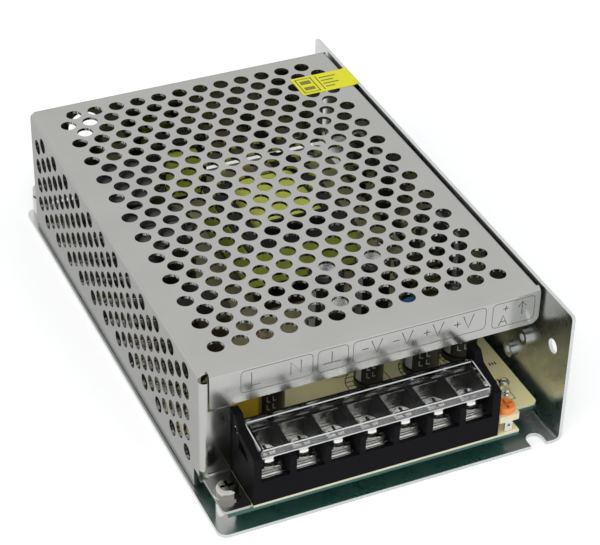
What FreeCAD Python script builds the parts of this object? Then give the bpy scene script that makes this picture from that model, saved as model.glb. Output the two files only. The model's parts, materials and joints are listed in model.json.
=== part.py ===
import FreeCAD, Part
import math
import os

# Mesh case switching power supply, terminal end towards -Y, tall chassis wall on the +X side.
# Millimetres. The origin is the centre of the footprint, on the surface that the chassis rests on.

V = FreeCAD.Vector
UP = V(0, 0, 1)
ALONG_X = V(1, 0, 0)
ALONG_Y = V(0, 1, 0)

# Case
LENGTH = 158.0
WIDTH = 98.0
HEIGHT = 41.0
CHASSIS_SHEET = 1.0
COVER_SHEET = 0.8
BEND = 0.8
CHASSIS_BEND = 1.2
COVER_LEFT_MARGIN = 0.8
COVER_TOP_DROP = 0.2
COVER_WALL_GAP = 0.4
COVER_FLOOR_GAP = 0.4
COVER_FRONT_MARGIN = 14.6
COVER_REAR_MARGIN = 7.7

# Perforation
HOLE_RADIUS = 2.25
HOLE_PITCH = 6.65
ROW_PITCH = 5.15
LEFT_HOLE_MARGIN = 8.2
RIGHT_HOLE_MARGIN = 7.8
FRONT_HOLE_MARGIN = 10.0
REAR_HOLE_MARGIN = 7.25
FIRST_LEVEL_DROP = 5.0
LAST_LEVEL_RISE = 7.8

# Front strip, rear wall and hidden flange of the cover
STRIP_LIFT = 2.0
STRIP_CORNER = 2.5
STRIP_GAP = 0.5
STILE_WIDTH = 1.9
FLANGE_WIDTH = 7.9
FLANGE_TOP_GAP = 0.5
SIDE_NOTCH_LENGTH = 5.2
SIDE_NOTCH_HEIGHT = 6.6
REAR_WALL_DROP = 32.6
REAR_HOLE_RADIUS = 5.0
REAR_HOLE_INSET = 16.7
REAR_HOLE_DROP = 8.8
HIDDEN_FLANGE = 8.0
RELIEF_RADIUS = 0.9
FOOT_WIDTH = 7.9
FRONT_FOOT_GAP = 0.2
REAR_FOOT_LENGTH = 7.2
STRIP_RIGHT_GAP = 0.4
FOOT_LEFT_INSET = 0.2
FOOT_CORNER = 1.0
FOOT_SCREW_INSET = 6.6
FOOT_SCREW_SHIFT = 0.2

# Screws
SCREW_RADIUS = 1.5
SCREW_CLEARANCE = 0.2
PAN_HEAD_RADIUS = 2.9
PAN_HEAD_HEIGHT = 2.1
FLUSH_HEAD_RADIUS = 2.6
SEAT_GAP = 0.05
WASHER_RADIUS = 3.6
WASHER_SHEET = 0.6
RECESS_WIDTH = 0.8
RECESS_REACH = 1.9
RECESS_DEPTH = 1.0
OBLONG_LENGTH = 5.6
OBLONG_SHIFT = 0.6

# Chassis features
SLOT_WIDTH = 4.8
SLOT_DEPTH = 4.6
SLOT_FROM_WALL = 5.9
CORNER_RADIUS = 2.5
WALL_HOLE_RADIUS = 2.1
WALL_HOLE_INSET = 7.6
WALL_HOLE_HEIGHT = 26.6
TAP_RADIUS = 1.25
BOSS_RADIUS = 2.2
BOSS_DEPTH = 1.5
FRONT_BOSS_INSET = 26.9
REAR_BOSS_INSET = 11.1
LOW_BOSS_HEIGHT = 12.2
HIGH_BOSS_INSET = 20.3
HIGH_BOSS_HEIGHT = 20.9
BOTTOM_TAP_INSET = 19.0
BOTTOM_TAP_SIDE = 25.0
SIDE_SCREW_INSET = 20.0
SIDE_SCREW_REACH = 2.0

# Circuit board
BOARD_SHEET = 1.6
STANDOFF_HEIGHT = 5.2
STANDOFF_RADIUS = 3.0
STANDOFF_BORE = 1.3
THREAD_FIT = 0.02
BOARD_SIDE_GAP = 0.7
MIDDLE_STANDOFF = 10.5
BOARD_WALL_GAP = 2.2
BOARD_REAR_GAP = 1.0
TONGUE_INSET = 0.5
TONGUE_MARGIN = 0.1
SCREW_BITE = 3.4
SHOULDER_INSET = 8.4
BOARD_CORNER = 1.4
STANDOFF_EDGE = 5.5
REAR_FOOT_INSET = 4.4

# Terminal block
CELLS = 7
CELL_PITCH = 9.5
RIB = 1.7
END_WALL = 2.2
BLOCK_FOOT_GAP = 0.4
BLOCK_DEPTH = 15.6
BLOCK_LIP = 7.0
BLOCK_FLOOR = 5.7
LIP_SHEET = 1.2
RIB_HEIGHT = 12.8
BACK_SHEET = 2.2
BACK_HEIGHT = 15.0
END_FRONT_HEIGHT = 14.8
END_SHOULDER_HEIGHT = 17.1
END_EAR_HEIGHT = 20.0
EAR_LENGTH = 5.6
EAR_SLOPE = 2.0
POCKET_INSET = 3.4
POCKET_DROP = 3.4
POCKET_SLOPE = 1.6
POCKET_REAR_GAP = 0.4
POCKET_DEPTH = 1.2
CONTACT_SHEET = 0.8
CONTACT_WIDTH = 7.2
CONTACT_RISE = 6.0
CONTACT_BEND = 0.3
TERMINAL_SCREW_RADIUS = 1.75
TERMINAL_RUN = 0.06
NUT_CLEARANCE = 0.35
TERMINAL_SHANK = 5.4
TERMINAL_HEAD_RADIUS = 3.2
TERMINAL_HEAD_HEIGHT = 2.6
TERMINAL_SCREW_INSET = 6.5
CLAMP_WIDTH = 7.0
CLAMP_DEPTH = 6.4
CLAMP_SHEET = 1.0
CLAMP_CORNER = 0.6
CLAMP_LOCK_RADIUS = 2.9
CLAMP_LOCK_HEIGHT = 0.8

# Clear lid
LID_SHEET = 1.2
LID_RIM = 1.6
LID_RIM_SHEET = 1.1
LID_CORNER = 0.8
LID_END_GAP = 0.3
LID_LENGTH = 10.2
LID_TAIL = 1.3
LID_SLOPE = 6.0
LID_AXIS_HEIGHT = 15.8
LID_AXIS_FROM_BACK = 4.1
LID_PIN_RADIUS = 1.0
LID_PIN_LENGTH = 2.3
LID_PIN_RUN = 0.08

# Trimmer and lamp
TRIMMER_SIDE = 6.0
TRIMMER_GAP = 0.3
TRIMMER_LEG_HEIGHT = 3.6
TRIMMER_LEG_SHEET = 0.5
TRIMMER_LEG_SIDE = 1.8
WIDE_LEG = 2.2
NARROW_LEG = 1.4
LEG_WINDOW = 0.8
TRIMMER_BASE_SHEET = 2.0
TRIMMER_ROTOR_RADIUS = 2.7
TRIMMER_ROTOR_HEIGHT = 1.8
TRIMMER_ROTOR_EDGE = 0.4
TRIMMER_FRONT_INSET = 0.1
LAMP_RADIUS = 1.5
LAMP_RIM = 0.3
LAMP_RIM_HEIGHT = 0.9
LAMP_OFFSET = 1.05
LAMP_FROM_SHOULDER = 6.2
LAMP_HEIGHT = 4.7
LAMP_STAND = 1.0
LAMP_LEG = 0.5

# Sticker
STICKER_SHEET = 0.15
STICKER_REACH = 18.8
STICKER_FROM_REAR = 22.9
STICKER_WIDTH = 10.0
STICKER_STEP = 1.4
STICKER_EDGE = 0.2
STICKER_BEND = 0.1

# Main transformer
CORE_WIDTH = 33.4
CORE_LENGTH = 35.0
CORE_HEIGHT = 13.0
CORE_LIFT = 8.6
CORE_LEG = 6.0
CORE_YOKE = 5.4
CORE_MIDDLE = 10.0
CORE_CORNER = 1.0
CORE_TAPE = 0.3
TAPE_EDGE = 0.9
WINDING_WIDTH = 19.6
WINDING_HEIGHT = 21.6
WINDING_LIFT = 4.3
WINDING_CORNER = 4.0
BOBBIN_WALL = 0.8
BOBBIN_FLANGE = 1.0
BOBBIN_FOOT = 6.0
BOBBIN_FOOT_HEIGHT = 3.0
BOBBIN_STAND = 0.6
BOBBIN_PIN = 0.4
BOBBIN_PIN_PITCH = 4.0
BOBBIN_PINS = 6
BOBBIN_FIT = 0.1

# Places on the board are counted in steps of this grid from its edges or its middle
GRID = 1.27

# Capacitors
SLEEVE_EDGE = 0.8
SLEEVE_GROOVE = 0.4
SLEEVE_GROOVE_RISE = 1.8
SLEEVE_GROOVE_WIDTH = 0.8
VENT_WIDTH = 0.5
VENT_DEPTH = 0.3
SMALL_CAN_RADIUS = 4.0
LARGE_CAN_RADIUS = 5.0
OUTPUT_CAN_RADIUS = 5.0
FRONT_SMALL_HEIGHT = 17.0
FRONT_LARGE_HEIGHT = 20.0
INPUT_CAN_HEIGHT = 15.0
OUTPUT_CAN_HEIGHT = 25.0
OUTPUT_SMALL_HEIGHT = 22.0
BULK_RADIUS = 11.0
BULK_GAP = 1.4
BULK_MARGIN = 2.3
BULK_TOP_GAP = 2.2
FILM_WIDTH = 6.6
FILM_LENGTH = 15.0
FILM_HEIGHT = 14.0
FILM_EDGE = 0.6
LEAD_RADIUS = 0.4
LEAD_SPREAD = 2.5
DISC_RADIUS = 4.6
DISC_SHEET = 3.2
DISC_STAND = 8.0
SMALL_DISC_RADIUS = 3.6
SMALL_DISC_SHEET = 2.6
SMALL_DISC_STAND = 5.0
THERMISTOR_RADIUS = 5.0
THERMISTOR_SHEET = 3.4
THERMISTOR_STAND = 2.5

# Line choke and output inductor
CHOKE_WIDTH = 16.0
CHOKE_HEIGHT = 22.0
CHOKE_LIMB = 4.2
CHOKE_LIFT = 1.2
CHOKE_MARGIN = 0.9
CHOKE_FOOT = 10.2
CHOKE_CORNER = 2.0
COIL_FIT = 0.15
COIL_END_GAP = 0.2
COIL_GAP = 0.4
INDUCTOR_RADIUS = 8.6
INDUCTOR_BORE = 4.6
INDUCTOR_WIDTH = 7.0
INDUCTOR_WIRE = 1.2
INDUCTOR_TURNS = 14
INDUCTOR_OPEN = 60
WIRE_FIT = 0.02

# Drive transformer
DRIVE_WIDTH = 17.0
DRIVE_DEPTH = 6.0
DRIVE_HEIGHT = 21.0
DRIVE_FRAME = 3.5
DRIVE_LIMB = 4.0
DRIVE_COIL_WIDTH = 9.4
DRIVE_COIL_DEPTH = 14.0
DRIVE_COIL_GAP = 0.4
DRIVE_EDGE = 0.5

# Packages clamped to the chassis wall
PAD_SHEET = 0.4
PAD_MARGIN = 1.5
PAD_LIFT = 1.4
PACKAGE_SHEET = 4.4
PACKAGE_LIFT = 3.4
PACKAGE_EDGE = 0.5
PACKAGE_LEG = 1.0
PACKAGE_LEG_SHEET = 0.6
PACKAGE_LEG_PITCH = 3.2
PACKAGE_LEG_BITE = 0.5
RECTIFIER_WIDTH = 15.6
RECTIFIER_HEIGHT = 16.0
TRANSISTOR_WIDTH = 10.2
TRANSISTOR_HEIGHT = 14.0
CLIP_SHEET = 0.8
CLIP_WIDTH = 5.0
CLIP_RISE = 4.0
CLIP_TOP = 1.0

# Small parts
BRIDGE_WIDTH = 20.0
BRIDGE_HEIGHT = 14.0
BRIDGE_SHEET = 3.4
BRIDGE_STAND = 3.0
BRIDGE_CORNER = 3.0
BRIDGE_LEG = 1.0
BRIDGE_LEG_SHEET = 0.8
BRIDGE_LEG_PITCH = 5.0
FUSE_RADIUS = 2.6
FUSE_LENGTH = 20.0
FUSE_HEIGHT = 4.0
FUSE_FIT = 0.05
FUSE_CLIP_SPREAD = 7.0
FUSE_CLIP_WIDTH = 7.0
FUSE_CLIP_DEPTH = 5.0
FUSE_CLIP_SHEET = 0.6
FUSE_CLIP_RISE = 1.6
CHIP_WIDTH = 6.4
CHIP_LENGTH = 19.0
CHIP_HEIGHT = 3.6
CHIP_NOTCH = 1.0
RESISTOR_LENGTH = 6.3
RESISTOR_RADIUS = 1.3
POWER_RESISTOR_LENGTH = 9.0
POWER_RESISTOR_RADIUS = 1.8
DIODE_LENGTH = 5.2
DIODE_RADIUS = 1.4
WIRE_RADIUS = 0.35
WIRE_REACH = 1.6
FILM_SHEET = 0.25
FILM_LEFT_MARGIN = 3.0
FILM_RIGHT_MARGIN = 4.0
FILM_FRONT_MARGIN = 21.0
FILM_REAR_MARGIN = 13.0
FILM_HOLE_MARGIN = 1.0

# Level lines that the sizes above give
LEFT = -WIDTH / 2
RIGHT = WIDTH / 2
FRONT = -LENGTH / 2
REAR = LENGTH / 2
COVER_TOP = HEIGHT - COVER_TOP_DROP
COVER_LEFT = LEFT + COVER_LEFT_MARGIN
WALL_INSIDE = RIGHT - CHASSIS_SHEET
COVER_RIGHT = WALL_INSIDE - COVER_WALL_GAP
COVER_FRONT = FRONT + COVER_FRONT_MARGIN
COVER_REAR = REAR - COVER_REAR_MARGIN
COVER_BOTTOM = CHASSIS_SHEET + COVER_FLOOR_GAP
BOARD_BOTTOM = CHASSIS_SHEET + STANDOFF_HEIGHT
BOARD_TOP = BOARD_BOTTOM + BOARD_SHEET
HALF = COVER_SHEET / 2
FOOT_RIGHT = COVER_LEFT + FOOT_WIDTH
FOOT_SCREW_X = COVER_LEFT + FOOT_WIDTH / 2 - FOOT_SCREW_SHIFT
FRONT_SCREW_Y = FRONT + FOOT_SCREW_INSET
REAR_SCREW_Y = COVER_REAR + REAR_FOOT_LENGTH / 2 + BEND
BLOCK_LEFT = FOOT_RIGHT + BLOCK_FOOT_GAP
BLOCK_WIDTH = CELLS * CELL_PITCH - RIB + 2 * END_WALL
BLOCK_RIGHT = BLOCK_LEFT + BLOCK_WIDTH
TONGUE_FRONT = FRONT + TONGUE_INSET
BLOCK_FRONT = TONGUE_FRONT
BLOCK_BACK = BLOCK_FRONT + BLOCK_DEPTH
CELL_HALF = (CELL_PITCH - RIB) / 2
FIRST_CELL = BLOCK_LEFT + END_WALL + CELL_HALF
STRIP_BOTTOM = BOARD_TOP + END_EAR_HEIGHT + STRIP_LIFT
BOARD_LEFT = COVER_LEFT + COVER_SHEET + BOARD_SIDE_GAP
BOARD_RIGHT = WALL_INSIDE - BOARD_WALL_GAP
BOARD_SHOULDER = FRONT + SHOULDER_INSET
BOARD_REAR = COVER_REAR - COVER_SHEET - BOARD_REAR_GAP
BOARD_MIDDLE = (BOARD_LEFT + BOARD_RIGHT) / 2
BOARD_CENTRE = (BOARD_SHOULDER + BOARD_REAR) / 2
CELL_PLACES = [FIRST_CELL + number * CELL_PITCH for number in range(CELLS)]
CONTACT_TOP = BOARD_TOP + BLOCK_FLOOR + CONTACT_SHEET
CLAMP_TOP = CONTACT_TOP + CLAMP_SHEET + CLAMP_LOCK_HEIGHT
TERMINAL_SCREW_Y = BLOCK_FRONT + TERMINAL_SCREW_INSET
LID_AXIS_Y = BLOCK_BACK - LID_AXIS_FROM_BACK
LID_AXIS_Z = BOARD_TOP + LID_AXIS_HEIGHT


def box(x0, x1, y0, y1, z0, z1):
    return Part.makeBox(x1 - x0, y1 - y0, z1 - z0, V(x0, y0, z0))


def block(x, y, z, width, depth, height):
    """A box centred on x and y that stands on z."""
    return box(x - width / 2, x + width / 2, y - depth / 2, y + depth / 2, z, z + height)


def post(x, y, z, radius, height):
    return Part.makeCylinder(radius, height, V(x, y, z), UP)


def rod(start, along, radius, length):
    return Part.makeCylinder(radius, length, start, along)


def from_left(steps):
    return BOARD_LEFT + steps * GRID


def from_right(steps):
    return BOARD_RIGHT - steps * GRID


def from_middle(steps):
    return BOARD_MIDDLE + steps * GRID


def from_shoulder(steps):
    return BOARD_SHOULDER + steps * GRID


def from_rear(steps):
    return BOARD_REAR - steps * GRID


def from_centre(steps):
    return BOARD_CENTRE + steps * GRID


def joined(shapes):
    """One solid from shapes that meet, with the seams between flush faces removed."""
    return shapes[0].multiFuse(shapes[1:]).removeSplitter()


def prism(points, run):
    return Part.Face(Part.makePolygon(points + [points[0]])).extrude(run)


def save(node, shapes):
    """Write one node: a solid, or a group of separate solids."""
    group = shapes if isinstance(shapes, list) else [shapes]
    solids = [solid for shape in group for solid in shape.Solids]
    shape = solids[0] if len(solids) == 1 else Part.makeCompound(solids)
    if not shape.isValid():
        raise ValueError(node + " is not valid")
    shape.exportStep("parts/" + node + ".step")


def add_line(edges, start, end):
    """Add a straight edge, unless the next bend starts where the last one ends."""
    if (end - start).Length > 1e-6:
        edges.append(Part.LineSegment(start, end).toShape())


def folded(path, sheet, bend, run):
    """A sheet whose middle line follows path, with round bends, run out along the vector run."""
    axis = V(run).normalize()
    middle = bend + sheet / 2
    legs = [(end - start).normalize() for start, end in zip(path, path[1:])]
    outlines = []
    ends = []
    for side in (1, -1):
        edges = []
        path_start = path[0] + axis.cross(legs[0]) * (side * sheet / 2)
        start = path_start
        for before, after, corner in zip(legs, legs[1:], path[1:-1]):
            reach = middle * math.tan(before.getAngle(after) / 2)
            left_before = axis.cross(before)
            left_after = axis.cross(after)
            turn = 1 if left_before.dot(after) > 0 else -1
            centre = corner - before * reach + left_before * (turn * middle)
            bend_start = corner - before * reach + left_before * (side * sheet / 2)
            bend_end = corner + after * reach + left_after * (side * sheet / 2)
            radius = middle - turn * side * sheet / 2
            crest = centre + (corner - centre).normalize() * radius
            add_line(edges, start, bend_start)
            edges.append(Part.Arc(bend_start, crest, bend_end).toShape())
            start = bend_end
        end = path[-1] + axis.cross(legs[-1]) * (side * sheet / 2)
        add_line(edges, start, end)
        outlines.append(edges)
        ends.append((path_start, end))
    caps = [Part.LineSegment(first, second).toShape() for first, second in zip(*ends)]
    outline = Part.Wire(Part.__sortEdges__(outlines[0] + outlines[1] + caps))
    return Part.Face(outline).extrude(run)


def rounded_edges(shape, radius, chosen):
    """Round the edges whose middle point satisfies the test chosen."""
    edges = [edge for edge in shape.Edges if chosen(edge)]
    return shape.makeFillet(radius, edges)


def cut_edges(shape, size, chosen):
    """Chamfer the edges whose middle point satisfies the test chosen."""
    edges = [edge for edge in shape.Edges if chosen(edge)]
    return shape.makeChamfer(size, edges)


def is_along(edge, direction):
    ends = [vertex.Point for vertex in edge.Vertexes]
    if len(ends) != 2:
        return False
    span = ends[1] - ends[0]
    return span.Length > 1e-6 and abs(abs(span.normalize().dot(direction)) - 1) < 1e-6


def oblong(x, y, z, radius, length, height):
    """An upright slot cutter, its long axis along Y."""
    half = length / 2 - radius
    ends = [post(x, y - half, z, radius, height), post(x, y + half, z, radius, height)]
    return ends[0].multiFuse([ends[1], block(x, y, z, 2 * radius, 2 * half, height)])


def cross_recess(x, y, top):
    bars = [
        block(x, y, top - RECESS_DEPTH, RECESS_WIDTH, 2 * RECESS_REACH, 2 * RECESS_DEPTH),
        block(x, y, top - RECESS_DEPTH, 2 * RECESS_REACH, RECESS_WIDTH, 2 * RECESS_DEPTH),
    ]
    return bars[0].fuse(bars[1])


def pan_screw(x, y, seat, reach, radius, head_radius, head_height):
    """A screw pointing down, its round-topped head standing on seat, with a cross recess."""
    head = post(x, y, seat, head_radius, head_height)
    top = seat + head_height
    head = rounded_edges(head, head_height * 0.45, lambda edge: abs(edge.BoundBox.ZMin - top) < 1e-6)
    shank = post(x, y, seat - reach, radius, reach)
    return head.fuse(shank).cut(cross_recess(x, y, top))


# Chassis
def tapped_boss(start, inward):
    """Material and bore of a boss pressed inward from the sheet, tapped for a machine screw."""
    boss = rod(start, inward, BOSS_RADIUS, CHASSIS_SHEET + BOSS_DEPTH)
    bore = rod(start - inward, inward, TAP_RADIUS, CHASSIS_SHEET + BOSS_DEPTH + 2)
    return boss, bore


def boss_places():
    low = [(FRONT + FRONT_BOSS_INSET, LOW_BOSS_HEIGHT), (REAR - REAR_BOSS_INSET, LOW_BOSS_HEIGHT)]
    return low + [(FRONT + HIGH_BOSS_INSET, HIGH_BOSS_HEIGHT)]


def bottom_tap_places():
    x = LEFT + BOTTOM_TAP_SIDE
    return [(x, FRONT + BOTTOM_TAP_INSET), (x, REAR - BOTTOM_TAP_INSET)]


def side_screw_places():
    height = COVER_TOP - HIDDEN_FLANGE / 2 - COVER_SHEET / 2
    return [(COVER_FRONT + SIDE_SCREW_INSET, height), (COVER_REAR - SIDE_SCREW_INSET, height)]


def base_chassis():
    half = CHASSIS_SHEET / 2
    section = [V(LEFT, FRONT, half), V(RIGHT - half, FRONT, half), V(RIGHT - half, FRONT, HEIGHT)]
    chassis = folded(section, CHASSIS_SHEET, CHASSIS_BEND, V(0, LENGTH, 0))
    sheet_edge = CHASSIS_SHEET + 0.1
    chassis = rounded_edges(
        chassis, CORNER_RADIUS, lambda edge: is_along(edge, UP) and edge.Length < sheet_edge
    )
    chassis = rounded_edges(
        chassis, CORNER_RADIUS / 2, lambda edge: is_along(edge, ALONG_X) and edge.BoundBox.ZMin > HEIGHT - 0.1
    )
    bosses = []
    cuts = []
    slot_x = WALL_INSIDE - SLOT_FROM_WALL
    for end in (-1, 1):
        centre = end * (REAR - SLOT_DEPTH + SLOT_WIDTH / 2)
        cuts.append(post(slot_x, centre, -1, SLOT_WIDTH / 2, CHASSIS_SHEET + 2))
        mouth = sorted([centre, end * (REAR + 1)])
        half_slot = SLOT_WIDTH / 2
        cuts.append(box(slot_x - half_slot, slot_x + half_slot, mouth[0], mouth[1], -1, CHASSIS_SHEET + 1))
        hole = V(WALL_INSIDE - 1, end * (REAR - WALL_HOLE_INSET), WALL_HOLE_HEIGHT)
        cuts.append(rod(hole, ALONG_X, WALL_HOLE_RADIUS, CHASSIS_SHEET + 2))
    for x, y in bottom_tap_places():
        boss, bore = tapped_boss(V(x, y, 0), UP)
        bosses.append(boss)
        cuts.append(bore)
    for y, z in boss_places():
        boss, bore = tapped_boss(V(RIGHT, y, z), V(-1, 0, 0))
        bosses.append(boss)
        cuts.append(bore)
    for y, z in side_screw_places():
        cuts.append(flush_seat(y, z))
    return chassis.multiFuse(bosses).removeSplitter().cut(Part.makeCompound(cuts))


def flush_seat(y, z):
    """Countersink and clearance hole through the chassis wall."""
    hole = rod(V(WALL_INSIDE - 1, y, z), ALONG_X, SCREW_RADIUS + SCREW_CLEARANCE, CHASSIS_SHEET + 2)
    wide = FLUSH_HEAD_RADIUS + SEAT_GAP
    cone = Part.makeCone(wide - CHASSIS_SHEET, wide, CHASSIS_SHEET, V(WALL_INSIDE, y, z), ALONG_X)
    return hole.fuse(cone)


# Cover
def steps_between(first, last, pitch):
    """How many steps of the pitch fit best between two places."""
    return round((last - first) / pitch)


def row_places():
    first = COVER_FRONT + FRONT_HOLE_MARGIN
    steps = steps_between(first, COVER_REAR - REAR_HOLE_MARGIN, ROW_PITCH)
    return [(row, first + row * ROW_PITCH) for row in range(steps + 1)]


def top_hole_centres():
    first = COVER_LEFT + LEFT_HOLE_MARGIN
    steps = steps_between(first, COVER_RIGHT - RIGHT_HOLE_MARGIN, HOLE_PITCH)
    centres = []
    for row, y in row_places():
        shifted = row % 2
        for column in range(steps + 1 - shifted):
            centres.append((first + (column + shifted / 2) * HOLE_PITCH, y))
    return centres


def side_hole_centres():
    first = COVER_TOP - FIRST_LEVEL_DROP
    steps = steps_between(COVER_BOTTOM + LAST_LEVEL_RISE, first, HOLE_PITCH / 2)
    centres = []
    for row, y in row_places():
        for level in range(row % 2, steps + 1, 2):
            centres.append((y, first - level * HOLE_PITCH / 2))
    return centres


def perforation():
    below = COVER_TOP - COVER_SHEET - 1
    cuts = [post(x, y, below, HOLE_RADIUS, COVER_SHEET + 2) for x, y in top_hole_centres()]
    for y, z in side_hole_centres():
        cuts.append(rod(V(COVER_LEFT - 1, y, z), ALONG_X, HOLE_RADIUS, COVER_SHEET + 2))
    return Part.makeCompound(cuts)


def mesh_cover():
    top = COVER_TOP - HALF
    left = COVER_LEFT + HALF
    right = COVER_RIGHT - HALF
    front = COVER_FRONT + HALF
    rear = COVER_REAR - HALF
    curl = BEND + COVER_SHEET
    hood_front = COVER_FRONT + curl
    hood_rear = COVER_REAR - curl
    hood_run = V(0, hood_rear - hood_front, 0)
    flange_bottom = COVER_TOP - HIDDEN_FLANGE
    hood = folded(
        [
            V(left, hood_front, COVER_BOTTOM),
            V(left, hood_front, top),
            V(right, hood_front, top),
            V(right, hood_front, flange_bottom),
        ],
        COVER_SHEET,
        BEND,
        hood_run,
    )

    strip_left = COVER_LEFT + STILE_WIDTH + STRIP_GAP
    strip = folded(
        [V(strip_left, hood_front, top), V(strip_left, front, top), V(strip_left, front, STRIP_BOTTOM)],
        COVER_SHEET,
        BEND,
        V(COVER_RIGHT - STRIP_RIGHT_GAP - strip_left, 0, 0),
    )
    low = STRIP_BOTTOM + 0.1
    strip = rounded_edges(
        strip,
        STRIP_CORNER,
        lambda edge: is_along(edge, ALONG_Y) and edge.BoundBox.ZMax < low and edge.BoundBox.XMin > 0,
    )
    strip = rounded_edges(
        strip,
        FOOT_CORNER,
        lambda edge: is_along(edge, ALONG_Y) and edge.BoundBox.ZMax < low and edge.BoundBox.XMax < 0,
    )

    rear_bottom = COVER_TOP - REAR_WALL_DROP
    rear_left = COVER_LEFT + curl
    rear_wall = folded(
        [V(rear_left, hood_rear, top), V(rear_left, rear, top), V(rear_left, rear, rear_bottom)],
        COVER_SHEET,
        BEND,
        V(COVER_RIGHT - STRIP_RIGHT_GAP - rear_left, 0, 0),
    )
    rear_hole = V(COVER_LEFT + REAR_HOLE_INSET, rear - 2, COVER_TOP - REAR_HOLE_DROP)
    rear_wall = rear_wall.cut(rod(rear_hole, ALONG_Y, REAR_HOLE_RADIUS, 4))
    rear_foot_z = BOARD_TOP + HALF
    rear_foot = folded(
        [
            V(rear_left, rear, rear_bottom + 2),
            V(rear_left, rear, rear_foot_z),
            V(rear_left, COVER_REAR + REAR_FOOT_LENGTH, rear_foot_z),
        ],
        COVER_SHEET,
        BEND,
        V(FOOT_RIGHT - rear_left, 0, 0),
    )
    rear_foot = rear_foot.cut(post(FOOT_SCREW_X, REAR_SCREW_Y, 0, SCREW_RADIUS + SCREW_CLEARANCE, HEIGHT))

    flange_top = STRIP_BOTTOM - FLANGE_TOP_GAP
    foot_z = BOARD_TOP + HALF
    flange_curl = foot_z + curl
    corner = folded(
        [V(left, hood_front, flange_curl), V(left, front, flange_curl), V(FOOT_RIGHT, front, flange_curl)],
        COVER_SHEET,
        BEND,
        V(0, 0, flange_top - flange_curl),
    )
    stile_right = COVER_LEFT + STILE_WIDTH
    stile = folded(
        [V(left, hood_front, flange_top), V(left, front, flange_top), V(stile_right, front, flange_top)],
        COVER_SHEET,
        BEND,
        V(0, 0, COVER_TOP - curl - RELIEF_RADIUS - flange_top),
    )
    foot_left = COVER_LEFT + curl
    toe_front = FRONT + FRONT_FOOT_GAP
    front_foot = folded(
        [V(foot_left, front, flange_curl), V(foot_left, front, foot_z), V(foot_left, toe_front, foot_z)],
        COVER_SHEET,
        BEND,
        V(FOOT_RIGHT - foot_left, 0, 0),
    )
    toe_left = COVER_LEFT + FOOT_LEFT_INSET
    toe_rear = front - BEND - HALF
    toe = box(toe_left, foot_left, toe_front, toe_rear, BOARD_TOP, BOARD_TOP + COVER_SHEET)
    front_foot = rounded_edges(
        joined([front_foot, toe]),
        FOOT_CORNER,
        lambda edge: is_along(edge, UP) and edge.BoundBox.YMax < FRONT + 1,
    )
    slot_radius = SCREW_RADIUS + SCREW_CLEARANCE
    slot_x = FOOT_SCREW_X + FOOT_SCREW_SHIFT
    slot = oblong(slot_x, FRONT_SCREW_Y - OBLONG_SHIFT, 0, slot_radius, OBLONG_LENGTH, HEIGHT)
    front_foot = front_foot.cut(slot)

    cover = joined([hood, strip, rear_wall, rear_foot, corner, stile, front_foot])
    notch_end = COVER_FRONT + SIDE_NOTCH_LENGTH
    notch_top = CHASSIS_SHEET + SIDE_NOTCH_HEIGHT
    notch = box(COVER_LEFT - 1, COVER_LEFT + curl, COVER_FRONT - 1, notch_end, 0, notch_top)
    screw_holes = [
        rod(V(COVER_RIGHT - 2, y, z), ALONG_X, SCREW_RADIUS + SEAT_GAP, 4) for y, z in side_screw_places()
    ]
    return cover.cut(Part.makeCompound([notch] + screw_holes)).cut(perforation())


# Board and what carries it
def standoff_places():
    right = BOARD_RIGHT - STANDOFF_EDGE
    left = BOARD_LEFT + STANDOFF_EDGE
    rear = BOARD_REAR - STANDOFF_EDGE
    return [(right, BOARD_CENTRE + MIDDLE_STANDOFF), (right, rear), (left, rear)]


def circuit_board():
    tongue_right = BLOCK_RIGHT + TRIMMER_GAP + TRIMMER_SIDE + TONGUE_MARGIN
    outline = [
        V(BOARD_LEFT, TONGUE_FRONT, BOARD_BOTTOM),
        V(tongue_right, TONGUE_FRONT, BOARD_BOTTOM),
        V(tongue_right, BOARD_SHOULDER, BOARD_BOTTOM),
        V(BOARD_RIGHT, BOARD_SHOULDER, BOARD_BOTTOM),
        V(BOARD_RIGHT, BOARD_REAR, BOARD_BOTTOM),
        V(BOARD_LEFT, BOARD_REAR, BOARD_BOTTOM),
    ]
    board = prism(outline, V(0, 0, BOARD_SHEET))
    corner = min(BOARD_CORNER, (BOARD_RIGHT - tongue_right) / 2)
    board = rounded_edges(
        board, corner, lambda edge: is_along(edge, UP) and abs(edge.BoundBox.XMax - BOARD_RIGHT) < 0.1
    )
    places = standoff_places() + [(FOOT_SCREW_X, FRONT_SCREW_Y)]
    holes = [post(x, y, 0, SCREW_RADIUS + SCREW_CLEARANCE, HEIGHT) for x, y in places]
    return board.cut(Part.makeCompound(holes))


def standoff(x, y, top):
    height = top - CHASSIS_SHEET
    bore = post(x, y, CHASSIS_SHEET, STANDOFF_BORE, height)
    return post(x, y, CHASSIS_SHEET, STANDOFF_RADIUS, height).cut(bore)


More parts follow.
